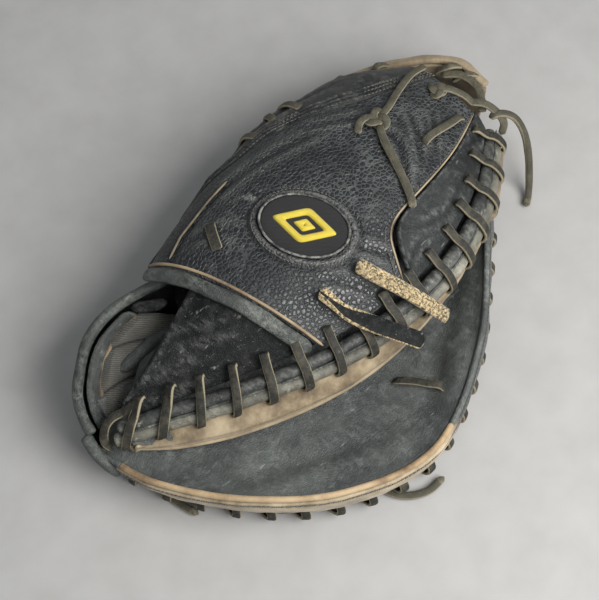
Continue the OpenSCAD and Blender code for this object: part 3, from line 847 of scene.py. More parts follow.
def welt(name, lines, stitches, paints, body):
    """Rolled welts, pinched where each turn of lace crosses them, with painted shade in the pinches and a
    worn bead between them.

    lines holds (rim, out, up) for the inner and the outer welt."""
    for k, (line, out, up) in enumerate(lines):
        path = rim_line(line, out, up)
        t = np.linspace(0, 1, len(path))
        pinch = sum(bell(t - c, 0.006) for c in stitches)
        width = 2 * WELT_RADIUS * (1 + 0.05 * wobble(path, 9, 5 + k) - 0.16 * pinch)
        path = uneven(path, 14, 7 + k, 0.45)
        wear = np.clip(0.28 + 0.4 * wobble(path, 16, 11 + k) - 0.3 * pinch, 0, 1)
        # painted shade where each lace turn pinches the welt
        roll(name + "_outer" * k, paints[k], body, "black_leather", path, width, width * 0.94, name,
             sides=20, taper=2.5, wear=wear, dent=0.5 * np.clip(pinch, 0, 1))
    (line, out_a, up_a), (_, out_b, up_b) = lines
    away = unit(np.array([up_a - up_b, out_b - out_a])) * BEAD_STANDS
    path = rim_line(line, (out_a + out_b) / 2 + away[0], (up_a + up_b) / 2 + away[1])
    path = uneven(path, 12, 14, 0.35)
    roll(name + "_bead", "collar", body, None, path, BEAD_WIDTH, BEAD_WIDTH, sides=8, taper=2,
         wear=patches(path, 0.5, 1, 9, 15))


def whip_lace(name, line, stitches, turn, slant, centre, body):
    """One arc of flat lace for each stitch. turn and centre are (out, up) steps from the rim line."""
    shape = Shape()
    steps = np.array(turn, float)
    share = np.linspace(0.5, -0.5, len(steps))
    up = np.array([0, 0, 1.0])
    for k, t in enumerate(stitches):
        p, before, after = along(line, np.array([t, t - 0.004, t + 0.004]))
        q = unit(after - before)
        o = outward(p)
        lean = slant * (1 + 0.25 * math.sin(k * 2.3))
        path = smooth(p + o * steps[:, :1] + up * steps[:, 1:] + q * (lean * share)[:, None], 26)
        away = path - (p + o * centre[0] + up * centre[1])
        away = unit(away - (away @ q)[:, None] * q)
        width = TURN_WIDTH * (1 + 0.06 * math.sin(k * 1.7))
        strand(shape, path, width, TURN_THICK, up=away, sides=14, power=3.6, wear=0.06)
    shape.make(name, "lace", body, "rawhide_lace")


welt("thumb_welts", [(THUMB_RIM, 0, 0.6), (THUMB_RIM, 5, -5.6)], THUMB_STITCHES,
     ("welt", "welt_olive"), THUMB)
welt("finger_welts", [(FINGER_RIM, 6, 0.4), (FINGER_RIM, -0.9, -6)], FINGER_STITCHES,
     ("welt", "welt"), FINGER)
whip_lace("thumb_rim_lace", THUMB_RIM, THUMB_STITCHES,
          [(-9.6, 11.4), (-9.4, 13.8), (-5.4, 10.4), (-1.4, 7.2), (2.8, 5.8), (6.0, 3.0), (8.8, -0.8),
           (10.6, -5.2), (9.6, -9.8), (6.0, -12.6)], 5.5, (1.5, -4), THUMB)
whip_lace("finger_rim_lace", FINGER_RIM, FINGER_STITCHES,
          [(4.5, 7.0), (9.0, 6.4), (13.4, 2.4), (12.6, -3.6), (7.0, -8.0), (1.0, -9.6), (-3.5, -8.6),
           (-5, -5.0)], 4.5, (2.8, -1.0), FINGER)


# ---------------------------------------------------------------- leather forms
def creases(p, surface, lines, wear):
    """Height, rubbed pale shoulders and painted shade in the valleys of creases. Each is ([t, s] points,
    width, depth) in millimetres.
    """
    height = np.zeros(p.shape[:-1])
    pale = np.zeros(p.shape[:-1])
    dark = np.zeros(p.shape[:-1])
    for places, width, depth in lines:
        places = smooth(places, 14)
        d, u = distance_to(p, on(surface, places[:, 0], places[:, 1]))
        fade = np.clip(np.minimum(u, 1 - u) * 5 + 0.15, 0, 1)
        valley = bell(d, width) * fade
        shoulder = bell(d - 2.0 * width, width * 1.1) * fade
        height += depth * (-valley + 0.42 * shoulder)
        pale = np.maximum(pale, shoulder * wear)
        # painted shade in the valley, deeper creases darker
        dark = np.maximum(dark, valley * min(depth, 1.6) / 1.6)
    return height, pale, dark


def relief(surface, lines, swell, fine, seed, border_wear=0.0, wear=0.6):
    """A form function for skin: broad swells, small wrinkles and named creases with painted shade in them."""
    def form(p, t, s, border, run):
        fade = np.clip(border / 6, 0, 1)
        h = swell[1] * wobble(p, swell[0], seed, 2) * fade + fine[1] * wobble(p, fine[0], seed + 9, 3) * fade
        c, pale, dark = creases(p, surface, lines, wear)
        pale = np.maximum(pale, border_wear * bell(border, 1.6))
        return h + c, pale, dark
    return form


# ---------------------------------------------------------------- thumb half
BACK_CREASES = [
    ([(0.80, 0.47), (0.805, 0.40), (0.78, 0.33), (0.74, 0.27)], 2.2, 1.6),
    ([(0.87, 0.46), (0.85, 0.38), (0.81, 0.30)], 1.8, 1.0),
    ([(0.91, 0.40), (0.88, 0.33), (0.84, 0.27)], 1.6, 0.8),
    ([(0.70, 0.66), (0.76, 0.58), (0.80, 0.53)], 2.2, 0.6),
    ([(0.50, 0.74), (0.58, 0.69), (0.66, 0.64), (0.72, 0.60)], 2.8, 0.7),
    ([(0.52, 0.26), (0.56, 0.18), (0.58, 0.10)], 2.4, 0.7),
    ([(0.60, 0.28), (0.63, 0.21), (0.645, 0.15)], 2.2, 0.8),
    ([(0.42, 0.68), (0.46, 0.62), (0.49, 0.54)], 2.6, 0.5),
]
BASE_CREASES = [([(0.10, 0.24), (0.17, 0.20), (0.26, 0.18)], 3.4, 0.4),
                ([(0.24, 0.40), (0.30, 0.33), (0.36, 0.28)], 2.6, 0.35)]
TIP_CREASES = [([(0.72, 0.16), (0.78, 0.12), (0.84, 0.13)], 2.0, 0.5),
               ([(0.9, 0.2), (0.94, 0.14), (0.97, 0.1)], 2.2, 0.7),
               ([(0.66, 0.10), (0.70, 0.13), (0.73, 0.12)], 1.8, 0.5)]
STRIP_CREASES = [([(0.62, 0.9), (0.72, 0.84), (0.84, 0.78)], 3.0, 1.0),
                 ([(0.5, 0.955), (0.58, 0.92), (0.66, 0.9)], 2.4, 0.8)]
THUMB_PALM_CREASES = [([(0.3, 0.3), (0.5, 0.4), (0.7, 0.35)], 4, 1.2)]
BADGE = (0.57, 0.398)
BADGE_SIZE = (25.5, 18.5)
BADGE_TOP = 0.9
GRAIN_OF_BACK = (0.857, 0.514, 0)
FLAP_T = np.linspace(0.372, 0.552, 30)
FLAP_S = 0.70 + 0.038 * np.clip((FLAP_T - 0.372) / 0.05, 0, 1) - 0.012 * np.clip((FLAP_T - 0.5) / 0.05, 0, 1)
SCUFF = np.array([2.8, 38.4, 92.5])
PAD_DEPTH = 9.4
PAD_LOWEST = 7.0
PUFF_LOWEST = 6.5 * MM
PUFF_MOST = 1.2 * MM
PUFF_FRAMES = 20
PUFF_PRESSURE = 4
FELT_VOXEL = 3.2 * MM
PULL_TAB = np.array([0.453, 0.6])
PULL_TAB_RUN = np.array([0.0045, 0.0155])


def above(surface, t, s, rise):
    """Points at a height over a net, and the net's normals there."""
    up = normal_at(surface, t, s)
    return on(surface, t, s) + up * rise, up


def badge_axes():
    centre, up = above(THUMB_BACK, np.array(BADGE[0]), np.array(BADGE[1]), 0)
    x = unit(np.cross(GRAIN_OF_BACK, up))
    return centre, up, x, np.cross(up, x)


def badge_distance(p):
    """How far, in millimetres, each point is outside the badge's oval edge."""
    c, n, x, y = badge_axes()
    r = np.hypot((p - c) @ x / BADGE_SIZE[0], (p - c) @ y / BADGE_SIZE[1])
    return (r - 1) * (BADGE_SIZE[0] + BADGE_SIZE[1]) / 2


def make_back_panel():
    """The pebbled back: creased, pressed in round the flap's piping, and swollen round the badge, with
    painted shade in its creases and round the piping and the badge.
    """
    def form(p, t, s, border, run):
        fade = np.clip(border / 7, 0, 1)
        h = 0.7 * wobble(p, 34, 2, 2) * fade + 0.18 * wobble(p, 9, 6, 2) * fade
        c, pale, dark = creases(p, THUMB_BACK, BACK_CREASES, 0.3)
        flap = distance_to(p, on(THUMB_BACK, FLAP_T, FLAP_S))[0] - 1.6
        h = h - 1.0 * bell(flap, 1.0)
        # painted shade in the groove pressed in round the flap's piping
        dark = np.maximum(dark, 0.6 * bell(flap, 0.8))
        scratches = np.clip(wobble(p, 3.0, 23, 2) * 1.6 - 0.3, 0, 1)
        pale = np.maximum(pale, bell(np.linalg.norm(p - SCUFF, axis=-1), 9) * scratches)
        d = badge_distance(p)
        flat = np.clip(d / 6, 0, 1)
        h = (h + c) * flat + 1.1 * bell(d - 2.6, 1.7) - 1.3 * bell(d - 6.0, 1.0) - 1.2 * (d < 0.6)
        pale = np.maximum(pale * flat, 0.55 * bell(d - 3.2, 1.6))
        pale = np.maximum(pale, 0.4 * bell(border, 1.4))
        # painted shade in the sunken ring round the badge
        dark = np.maximum(dark * flat, 0.7 * bell(d - 6.0, 0.8))
        return h, pale, dark
    panel("back_panel", "pebble", THUMB, "pebbled_leather", THUMB_BACK, [STRAP_FOOT] + TIP_SEAM,
          [STRAP_HEAD] + SPINE_SEAM, 2.6, nt=200, ns=110, form=form)


def make_base_panel():
    """The plain panel beside the strap, with a frayed open edge."""
    plain = relief(THUMB_BACK, BASE_CREASES, (34, 0.8), (6, 0.12), 4, wear=0.3)

    def form(p, t, s, border, run):
        h, pale, dark = plain(p, t, s, border, run)
        hem = run[:, -1:] - run
        fray = bell(hem, 3.6) * np.clip(0.6 + 1.3 * wobble(p, 7, 21, 2), 0, 1)
        h = h + 1.1 * bell(hem - 2.6, 1.8) - 0.7 * bell(hem, 2.0) * (0.5 + 0.5 * wobble(p, 4, 22, 2))
        return h, np.maximum(pale, fray), dark
    panel("thumb_base_panel", "base", THUMB, "black_leather", THUMB_BACK,
          row(0.02, STRAP_FOOT[0] + 0.04, 0.05), BASE_EDGE, 2.2, nt=120, ns=70, lift=-3.2, form=form)


def make_tip_panel():
    """The panel at the thumb's tip, with a worn turned edge on its seam."""
    plain = relief(THUMB_BACK, TIP_CREASES, (24, 0.8), (5, 0.15), 8)

    def form(p, t, s, border, run):
        h, pale, dark = plain(p, t, s, border, run)
        hem = run[:, -1:] - run
        return h + 0.9 * bell(hem - 1.2, 1.1), np.maximum(pale, 0.95 * bell(hem - 0.6, 0.8)), dark
    panel("thumb_tip_panel", "tip", THUMB, "black_leather", THUMB_BACK, row(0.65, 0.99, 0.05),
          [(t + 0.008, s - 0.004) for t, s in TIP_SEAM], 2.6, nt=130, ns=44, form=form, lift=0.3)


def make_edge_strip():
    """The strip along the spine, with three grooves beside its seam and painted shade in the grooves."""
    plain = relief(THUMB_BACK, STRIP_CREASES, (18, 1.0), (6, 0.25), 12)

    def form(p, t, s, border, run):
        h, pale, dark = plain(p, t, s, border, run)
        for k in range(3):
            groove = bell(run - 1.6 - 2.9 * k, 0.7)
            ridge = bell(run - 3.0 - 2.9 * k, 0.8)
            h = h - 0.8 * groove + 0.4 * ridge
            pale = np.maximum(pale, 0.55 * ridge)
            # painted shade in each groove
            dark = np.maximum(dark, 0.7 * groove)
        return h, pale, dark
    panel("thumb_edge_strip", "strip", THUMB, "black_leather", THUMB_BACK,
          [(t, s + 0.004) for t, s in SPINE_SEAM], [(0.47, 0.965), (0.985, 0.95)], 2.6, nt=170, ns=50,
          form=form)


def seam_stitches(name, surface, lines, body, lift):
    """Rows of stitches. Each line is a list of [t, s] points on a net."""
    shape = Shape()
    for places in lines:
        t, s = route(places, np.linspace(0, 1, 90)).T
        sewing(shape, *above(surface, t, s, lift))
    shape.make(name, "stitch", body)


def badge_oval(grow):
    """A closed oval in the badge's plane, grow millimetres outside its edge."""
    c, n, x, y = badge_axes()
    a = np.linspace(0, 2 * math.pi, 181)
    wide, high = BADGE_SIZE
    return c + np.outer(np.cos(a), x) * (wide + grow) + np.outer(np.sin(a), y) * (high + grow)


def make_badge():
    c, n, x, y = badge_axes()
    rings, sides = 14, 96
    a = np.arange(sides) * 2 * math.pi / sides
    around = np.outer(np.cos(a), x) * BADGE_SIZE[0] + np.outer(np.sin(a), y) * BADGE_SIZE[1]
    share = np.linspace(0.0, 1.0, rings + 1)[1:, None, None]
    cloth_top = c + around * share + n * (BADGE_TOP - BADGE_TOP * share ** 8)
    faces = [(0, 1 + j, 1 + (j + 1) % sides) for j in range(sides)]
    faces += grid_faces(rings, sides, 1, wrap=True)
    faces.append(tuple(1 + (rings - 1) * sides + j for j in range(sides))[::-1])
    shape = Shape()
    shape.add(np.concatenate([[c + n * BADGE_TOP], cloth_top.reshape(-1, 3)]), faces)
    shape.make("badge", "twill", THUMB, "badge_cloth")
    roll("badge_rim", "welt", THUMB, None, badge_oval(0) + n * 0.75, 1.5, 1.1, up=n, sides=8, wear=0.8)
    path = badge_oval(4.4)
    shape = Shape()
    sewing(shape, path + n * (surface_drop(path, c, n) + 0.6)[:, None], n, pitch=2.3, length=1.5, width=0.6)
    shape.make("badge_stitching", "stitch", THUMB)
    make_emblem()


def surface_drop(path, c, n):
    """How far the back's surface lies over the badge's plane at each point."""
    t, s = np.meshgrid(np.linspace(0.44, 0.70, 60), np.linspace(0.15, 0.72, 60))
    p = on(THUMB_BACK, t.ravel(), s.ravel())
    lie = (p - c) @ n
    flat = p - lie[:, None] * n
    return lie[[np.argmin(np.sum((flat - q) ** 2, axis=1)) for q in path]]


def make_emblem():
    """A plain diamond ring with a smaller diamond in it, in raised satin stitch."""
    c, n, x, y = badge_axes()
    shape = Shape()
    rows = 7

    def diamond(wide, high):
        corners = np.array([(wide, 0), (0, high), (-wide, 0), (0, -high)], float)
        share = np.linspace(0, 1, 14, endpoint=False)[:, None]
        points = np.concatenate([a + (b - a) * share for a, b in zip(corners, np.roll(corners, -1, 0))])
        for _ in range(3):
            points = (np.roll(points, 1, 0) + points * 2 + np.roll(points, -1, 0)) / 4
        return points

    def ribbon(outer, inner, crown):
        """A raised band between two diamonds."""
        v = np.linspace(0, 1, rows)[:, None, None]
        flat = diamond(*outer) * (1 - v) + diamond(*inner) * v
        place = c + flat[..., :1] * x + flat[..., 1:] * y
        top = place + n * (BADGE_TOP + crown * np.sqrt(np.clip(1 - (2 * v - 1) ** 2, 0, 1)))
        around = flat.shape[1]
        last = (2 * rows - 1) * around
        faces = grid_faces(2 * rows, around, wrap=True)
        faces += [(last + j, j, (j + 1) % around, last + (j + 1) % around) for j in range(around)]
        shape.add(np.concatenate([top, (place + n * 0.5)[::-1]]), faces)

    ribbon((19.5, 11.5), (11.5, 6.6), 1.5)
    ribbon((6.6, 4.2), (0.4, 0.3), 1.2)
    shape.make("badge_emblem", "yellow", THUMB, "emblem_thread")


def strap_line(past, rise):
    """A line beside the strap's seam, past of t beyond it, and the back's normals along the seam."""
    t, s = route([STRAP_FOOT, STRAP_HEAD], np.linspace(0, 1, 61)).T
    up = normal_at(THUMB_BACK, t, s)
    return on(THUMB_BACK, t + past, s) + up * rise, up


def make_strap_edge():
    path, up = strap_line(-0.016, -0.4)
    path = uneven(path, 16, 30, 0.5)
    width = 8.6 * (1 + 0.05 * wobble(path, 12, 33))
    roll("strap_binding", "collar", THUMB, "black_leather", path, width, 4.6,
         up=up, sides=24, power=2.6, taper=3, wear=patches(path, 0.25, 0.5, 18, 34))
    path, up = strap_line(0.008, 1.3)
    piece = roll("strap_piping", "piping", THUMB, "tan_piping", path, 1.7, 1.6,
                 up=up, sides=10, taper=2, wear=patches(path, 0.5, 1, 10, 35))
    dye(piece, 0.25)
    path = above(THUMB_BACK, FLAP_T, FLAP_S, 0.5)[0]
    dye(roll("flap_piping", "tan", THUMB, None, path, 1.3, 1.2, sides=10, taper=2, dent=0.12), 0.35)


def make_side_band():
    """The blonde band under the thumb rim, pulled in by each turn of the rim's lace, with painted shade in
    the pulls and a dark stitch line near its lower edge.
    """
    def form(p, t, s, border, run):
        h = 0.8 * wobble(p, 16, 40, 2) + 0.2 * wobble(p, 4, 41, 2)
        pull = sum(bell((t - c) * 330, 3.5) for c in THUMB_STITCHES) * bell(run, 6)
        h = (h - 1.2 * pull) * np.clip(border / 3, 0.2, 1)
        hem = run[:, -1:] - run
        # painted shade where the lace pulls the band in, and a dark stitch line near the lower edge
        return h, 0.8 * bell(hem - 1, 1.4), np.maximum(0.3 * pull, 0.45 * bell(hem - 3.4, 0.6))
    panel("thumb_side_band", "tan", THUMB, "tan_leather", THUMB_BAND, row(0.03, 0.97, 0.02),
          row(0.03, 0.97, 0.98), 2.4, side=-1, nt=220, ns=26, form=form)
    path = rim_line(THUMB_EDGE, 0.5, -1.2)
    roll("thumb_piping", "tan", THUMB, "tan_piping", path, 2.7 * (1 + 0.05 * wobble(path, 8, 43)), 2.5,
         sides=14, taper=2, wear=0.3)


def bake_modifiers(piece):
    """Makes the evaluated shape of a piece its own mesh, with no modifier left."""
    graph = bpy.context.evaluated_depsgraph_get()
    mesh = bpy.data.meshes.new_from_object(piece.evaluated_get(graph))
    old = piece.data
    piece.modifiers.clear()
    piece.data = mesh
    bpy.data.meshes.remove(old)


def stuff(piece, floor_z):
    """Plumps a pad with the cloth simulation: pressure inside pushes the felt out against its own skin."""
    remesh = piece.modifiers.new("remesh", "REMESH")
    remesh.mode = "VOXEL"
    remesh.voxel_size = FELT_VOXEL
    bake_modifiers(piece)
    start = coordinates(piece.data)
    cloth = piece.modifiers.new("cloth", "CLOTH")
    cloth.settings.quality = 5
    cloth.settings.use_pressure = True
    cloth.settings.uniform_pressure_force = PUFF_PRESSURE
    cloth.settings.effector_weights.gravity = 0
    cloth.point_cache.frame_start = 1
    cloth.point_cache.frame_end = PUFF_FRAMES
    scene = bpy.context.scene
    for number in range(1, PUFF_FRAMES + 1):
        scene.frame_set(number)
    puffed = piece.evaluated_get(bpy.context.evaluated_depsgraph_get())
    move = coordinates(puffed.data) - start
    piece.modifiers.clear()
    scene.frame_set(1)
    far = np.linalg.norm(move, axis=1, keepdims=True)
    end = start + move * np.minimum(1, PUFF_MOST / np.maximum(far, 1e-9))
    end[:, 2] = np.maximum(end[:, 2], floor_z)
    piece.data.vertices.foreach_set("co", end.ravel())
    piece.data.update()
    smoother = piece.modifiers.new("smoother", "SUBSURF")
    smoother.levels = 1
    bake_modifiers(piece)
    mesh = piece.data
    mesh.polygons.foreach_set("use_smooth", [True] * len(mesh.polygons))
    layer = mesh.attributes.get("rest") or mesh.attributes.new("rest", "FLOAT_VECTOR", "POINT")
    layer.data.foreach_set("vector", coordinates(mesh).ravel())


def pad(name, surface, foot, head, side, body):
    """A felt pad: full in the middle, thin at its edges, and puffed by its own stuffing."""
    def form(p, t, s, border, run):
        return 0.35 * wobble(p, 14, 60, 3), 0.0, 0.0
    u, v = 90, 40
    shape = Shape()
    skin(shape, surface, foot, head, 0.1, side=side, nt=u, ns=v, lift=-3.2, form=form, edge=0.5)
    top = shape.points[0][:(u + 1) * (v + 1)]
    grid = top.reshape(u + 1, v + 1, 3)
    away = unit(np.cross(np.gradient(grid, axis=0), np.gradient(grid, axis=1))) * (-side)
    lengthways = np.sin(math.pi * (0.04 + 0.92 * np.linspace(0, 1, u + 1)))[:, None]
    across = np.sin(math.pi * (0.04 + 0.92 * np.linspace(0, 1, v + 1)))[None, :]
    deep = PAD_DEPTH * np.power(np.clip(lengthways * across, 0, 1), 0.42)
    low = grid + away * deep[..., None]
    if side > 0:
        low[..., 2] = np.maximum(low[..., 2], PAD_LOWEST)
    shape.points[0] = np.concatenate([top, low.reshape(-1, 3)])
    piece = shape.make(name, "felt", None, "felt_pad")
    stuff(piece, PUFF_LOWEST if side > 0 else 0)
    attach(piece, body)


def over_pad(seed):
    """Form of a lining that lies over a pad: down in the middle and close to the leather at its edges."""
    def form(p, t, s, border, run):
        h = -9.6 * np.sqrt(np.clip(border / 22, 0, 1))
        return h + 0.5 * wobble(p, 12, seed, 2) * np.clip(border / 8, 0, 1), 0.0, 0.0
    return form


def finger_loop(name, centre, body):
    """Flat leather loop for a finger."""
    a = np.linspace(0, 2 * math.pi, 49)
    path = np.array(centre, float) + np.stack([0.6 * np.sin(2 * a), 8 * np.cos(a), 8 * np.sin(a)], 1)
    roll(name, "lace", body, "rawhide_lace", path, 9, 2, up=unit(path - centre), sides=12, power=4)


def trefoil(centre, size, turn):
    """A closed overhand knot lying on a surface that faces up."""
    a = np.linspace(0, 2 * math.pi, 73)
    x = np.sin(a) + 2 * np.sin(2 * a)
    y = np.cos(a) - 2 * np.cos(2 * a)
    normal = unit((0.1, 0.05, 1))
    east = unit(np.cross((0.3, 1, 0), normal))
    north = np.cross(normal, east)
    e, f = math.cos(turn), math.sin(turn)
    flat = np.outer((x * e - y * f) * size, east) + np.outer((x * f + y * e) * size, north)
    return np.array(centre, float) + flat + np.outer(size - np.sin(3 * a) * size * 0.8, normal)


THUMB_LACES = {
    "crease_lace": ("lace_olive", 40, 4.4, 2.2, [(155, 44, 67), (140, 42, 75), (122, 36, 82), (110, 31, 86.5),
                                                 (99, 28, 89)]),
    "crease_end": ("lace_olive", 20, 4.4, 2.4, [(98, 29, 89), (92, 33, 90), (87, 33, 89), (82, 29, 89.5)]),
    "tip_stitch": ("lace_olive", 30, 5.0, 2.0, [(108, 1, 81.5), (111, 1, 84), (117, 1, 83.6), (131, 1, 78.6),
                                                (139, 2, 74.4), (143, 2, 70)]),
    "tip_lace": ("lace_olive", 24, 4.4, 2.6, [(143, 24, 77), (149, 19, 75.5), (155, 12, 70), (158, 6, 64)]),
    "tip_wrap": ("lace_olive", 30, 4.8, 2.8, [(157, 8, 65), (162, 2, 65), (165, -5, 62), (166, -12, 56),
                                              (162, -15, 50)]),
    "heel_loop": ("lace", 30, 5.0, 2.4, [(-117, 7, 49.5), (-126, 10, 48), (-132, 10, 43), (-136, 7, 36),
                                         (-135, 3, 31)]),
    "heel_loop_inner": ("lace", 30, 4.8, 2.4, [(-102, 4, 53.5), (-111, 7, 53), (-119, 6, 50), (-126, 2, 43),
                                               (-128, -2, 37)]),
}


def make_small_laces():
    up = normal_at(THUMB_BACK, *PULL_TAB)
    j = np.linspace(-3.4, 3.4, 25)
    t, s = (PULL_TAB + np.outer(j, PULL_TAB_RUN)).T
    path = on(THUMB_BACK, t, s) + up * (1.5 - 0.2 * np.abs(j)[:, None] ** 1.8)
    roll("pull_tab", "lace", THUMB, "rawhide_lace", path, 6.2, 1.7, up=up, sides=18, power=4.2, wear=0.1,
         taper=1.4)
    t, s = (np.array(TIP_SEAM[2:]) + (-0.004, 0.006)).T
    path = above(THUMB_BACK, t, s, 0.3)[0]
    roll("tip_seam_edge", "tan", THUMB, None, path, 1.1, 0.9, sides=8, taper=3,
         wear=patches(path, 0.2, 1, 9, 37))
    # a dark pebbled strip round the pull tab is painted shade in its slit
    t, s = (PULL_TAB + np.outer(np.linspace(-2.6, 2.6, 13), PULL_TAB_RUN)).T
    roll("pull_tab_slit_shade", "pebble", THUMB, None, on(THUMB_BACK, t, s) + up * 0.05, 8.6, 0.7,
         up=up, sides=10, power=3, dent=1.0)
    for name, place, size, turn in (("crease_knot", (97, 28, 86.5), 2.0, 0.4),
                                    ("tip_knot", (143, 23, 74.5), 1.35, 1.4)):
        roll(name, "lace_olive", THUMB, "rawhide_lace", trefoil(place, size, turn), 4.4, 2.8,
             sides=12, power=2.8, wear=0.08)
    for name, (paint, n, width, thick, places) in THUMB_LACES.items():
        lace(name, paint, THUMB, places, n, width, thick)
    u = np.linspace(0, 1, 24)
    rise = -0.6 + 2.6 * np.sin(math.pi * np.clip(u * 1.2, 0, 1))
    for k, (t, inner, lean) in enumerate(((0.655, 0.8, -0.012), (0.70, 0.8, 0.012), (0.745, 0.75, -0.012))):
        path, up = above(THUMB_BACK, t + lean * u, inner + (0.965 - inner) * u, rise[:, None])
        roll("spine_lace_%d" % (k + 1), "lace_olive", THUMB, None, path, 5.0, 2.2,
             up=up, sides=12, power=3.2, wear=0.08, taper=1.5)


def make_thumb_half():
    make_back_panel()
    make_base_panel()
    make_tip_panel()
    make_edge_strip()
    spine_rows = [[(t + 0.006, s + 0.016 + 0.024 * k) for t, s in SPINE_SEAM[12:]] for k in range(3)]
    seam_stitches("spine_seam_stitching", THUMB_BACK, spine_rows, THUMB, -0.4)
    tip_row = [(t - 0.012, s + 0.016) for t, s in TIP_SEAM]
    seam_stitches("tip_seam_stitching", THUMB_BACK, [tip_row], THUMB, -0.1)
    make_badge()
    make_strap_edge()
    make_side_band()
    panel("thumb_palm", "palm", THUMB, "black_leather", THUMB_PALM, row(0.01, 0.99, 0.02),
          [(0.03, 0.3), (0.1, 0.62), (0.2, 0.9), (0.99, 0.9)], 2.6, side=-1, nt=130, ns=60,
          form=relief(THUMB_PALM, THUMB_PALM_CREASES, (30, 1.0), (7, 0.25), 50))
    pad("thumb_pad", THUMB_PALM, row(0.26, 0.9, 0.36), row(0.26, 0.9, 0.75), -1, THUMB)
    panel("thumb_lining", "lining", THUMB, "lining_cloth", THUMB_PALM, row(0.28, 0.88, 0.39),
          row(0.28, 0.88, 0.73), 1.5, side=-1, nt=80, ns=30, lift=-4.4, form=over_pad(70))
    finger_loop("thumb_loop", (52, -8, 74), THUMB)
    make_small_laces()


def make_strap_end(name, paint, slot, places, width, thick, waist=((0, 1), (1, 1))):
    """A free end of the strap. waist is shares of its length, and shares of its width there."""
    path = smooth(places, 44)
    part = np.interp(np.linspace(0, 1, 45), *waist)
    piece = roll(name, paint, THUMB, slot, path, width * part * (1 + 0.04 * wobble(path, 8, 80)), thick,
                 sides=18, power=4.5, taper=1.4)


def make_strap_flesh():
    """The lower strap end's flesh side, a second layer that shows past its dark face."""
    share = np.linspace(0, 1, 45)
    apart = np.outer(np.interp(share, (0, 0.35, 0.6), (1, 0.6, 0)), (0.5, 0.3, 0.6)) - (0, 0, 1.0)
    width = np.interp(share, (0, 0.3, 0.5, 1), (8.6, 7.4, 10.6, 10.8))
    roll("strap_lower_flesh", "suede", THUMB, "suede_strap", smooth(STRAP_LOWER, 44) + apart, width, 1.6,
         None, sides=18, power=4.0, taper=2.2)


make_thumb_half()
make_strap_end("strap_upper", "suede", "suede_strap", STRAP_UPPER, 9.2, 2.6)
make_strap_end("strap_lower", "base", "rawhide_lace", STRAP_LOWER, 10.0, 1.5,
               ((0, 0.2, 0.45, 0.6, 1), (0.12, 0.2, 0.62, 0.96, 1.0)))
make_strap_flesh()


# ---------------------------------------------------------------- finger half
PALM_CREASES = [([(0.30, 0.18), (0.42, 0.24), (0.55, 0.22)], 5.0, 0.7),
                ([(0.60, 0.14), (0.70, 0.24), (0.80, 0.30)], 6.0, 1.0),
                ([(0.50, 0.05), (0.52, 0.15), (0.50, 0.28)], 3.0, 0.4)]
COLLAR_CREASES = [([(0.2, 0.3), (0.5, 0.4), (0.8, 0.35)], 4, 1.2)]
WEB_CREASES = [([(0.1, 0.5), (0.5, 0.6), (0.9, 0.5)], 4, 1.2)]
SPINE_CREASES = [([(0.4, 0.4), (0.6, 0.5), (0.9, 0.45)], 5, 1.4)]
FINGER_PIPING = [("finger_piping", 26, 292, "piping"), ("finger_piping_heel", 0, 28, "palm"),
                 ("finger_piping_tip", 290, 481, "palm")]
WEB_LACES = [((168, 46, 44), (173, 39, 54), (181, 36, 49)), ((171, 34, 46), (176, 27, 55), (184, 24, 48)),
             ((112, 82, 44), (118, 81, 49), (126, 84, 43)), ((138, 71, 46), (143, 71, 51), (151, 70, 45))]
WEB_TIE = [(167, 40, 50), (173, 30, 54), (174, 18, 55), (168, 8, 56), (161, 1, 58)]
PALM_TIE = [(7, -78, 32), (8, -81, 36), (12, -87, 39), (16, -94, 41), (20, -100, 42), (22, -103, 38)]
FINGER_GROOVES = (0.18, 0.31, 0.44, 0.57)
WRIST = np.array([-40, 14, 0])


def make_finger_piping():
    """Piping round the finger palm: tan in the middle, and dark leather at the heel and the tip."""
    whole = rim_line(FINGER_EDGE, 1, 0.5, 480)
    for name, first, last, paint in FINGER_PIPING:
        path = whole[first:last]
        width = 3.5 * (1 + 0.06 * wobble(path, 7, 91))
        roll(name, paint, FINGER, "tan_piping", path, width, 3.4, "finger_piping",
             sides=14, taper=2, wear=patches(path, 0.3, 0.6, 12, 92))


def make_finger_band():
    """The band under the finger half's edge, blonde at the heel and dyed dark towards the web."""
    def form(p, t, s, border, run):
        seam = bell(run - 4.0, 0.7)
        h = 0.7 * wobble(p, 14, 93, 2) * np.clip(border / 3, 0.2, 1) - 0.7 * seam
        # painted shade in the pressed seam groove
        return h, 0.3 * bell(run[:, -1:] - run, 3), 0.8 * seam
    piece = panel("finger_side_band", "cream", FINGER, "tan_leather", FINGER_BAND, row(0.01, 0.99, 0.02),
                  row(0.01, 0.99, 0.98), 2.4, side=-1, nt=220, ns=26, form=form)
    dye(piece, lambda points: (points[:, 0] - 2) / 14)
    seam_stitches("finger_band_stitching", FINGER_BAND, [[(0.02, 0.16), (0.98, 0.16)]], FINGER, -0.2)


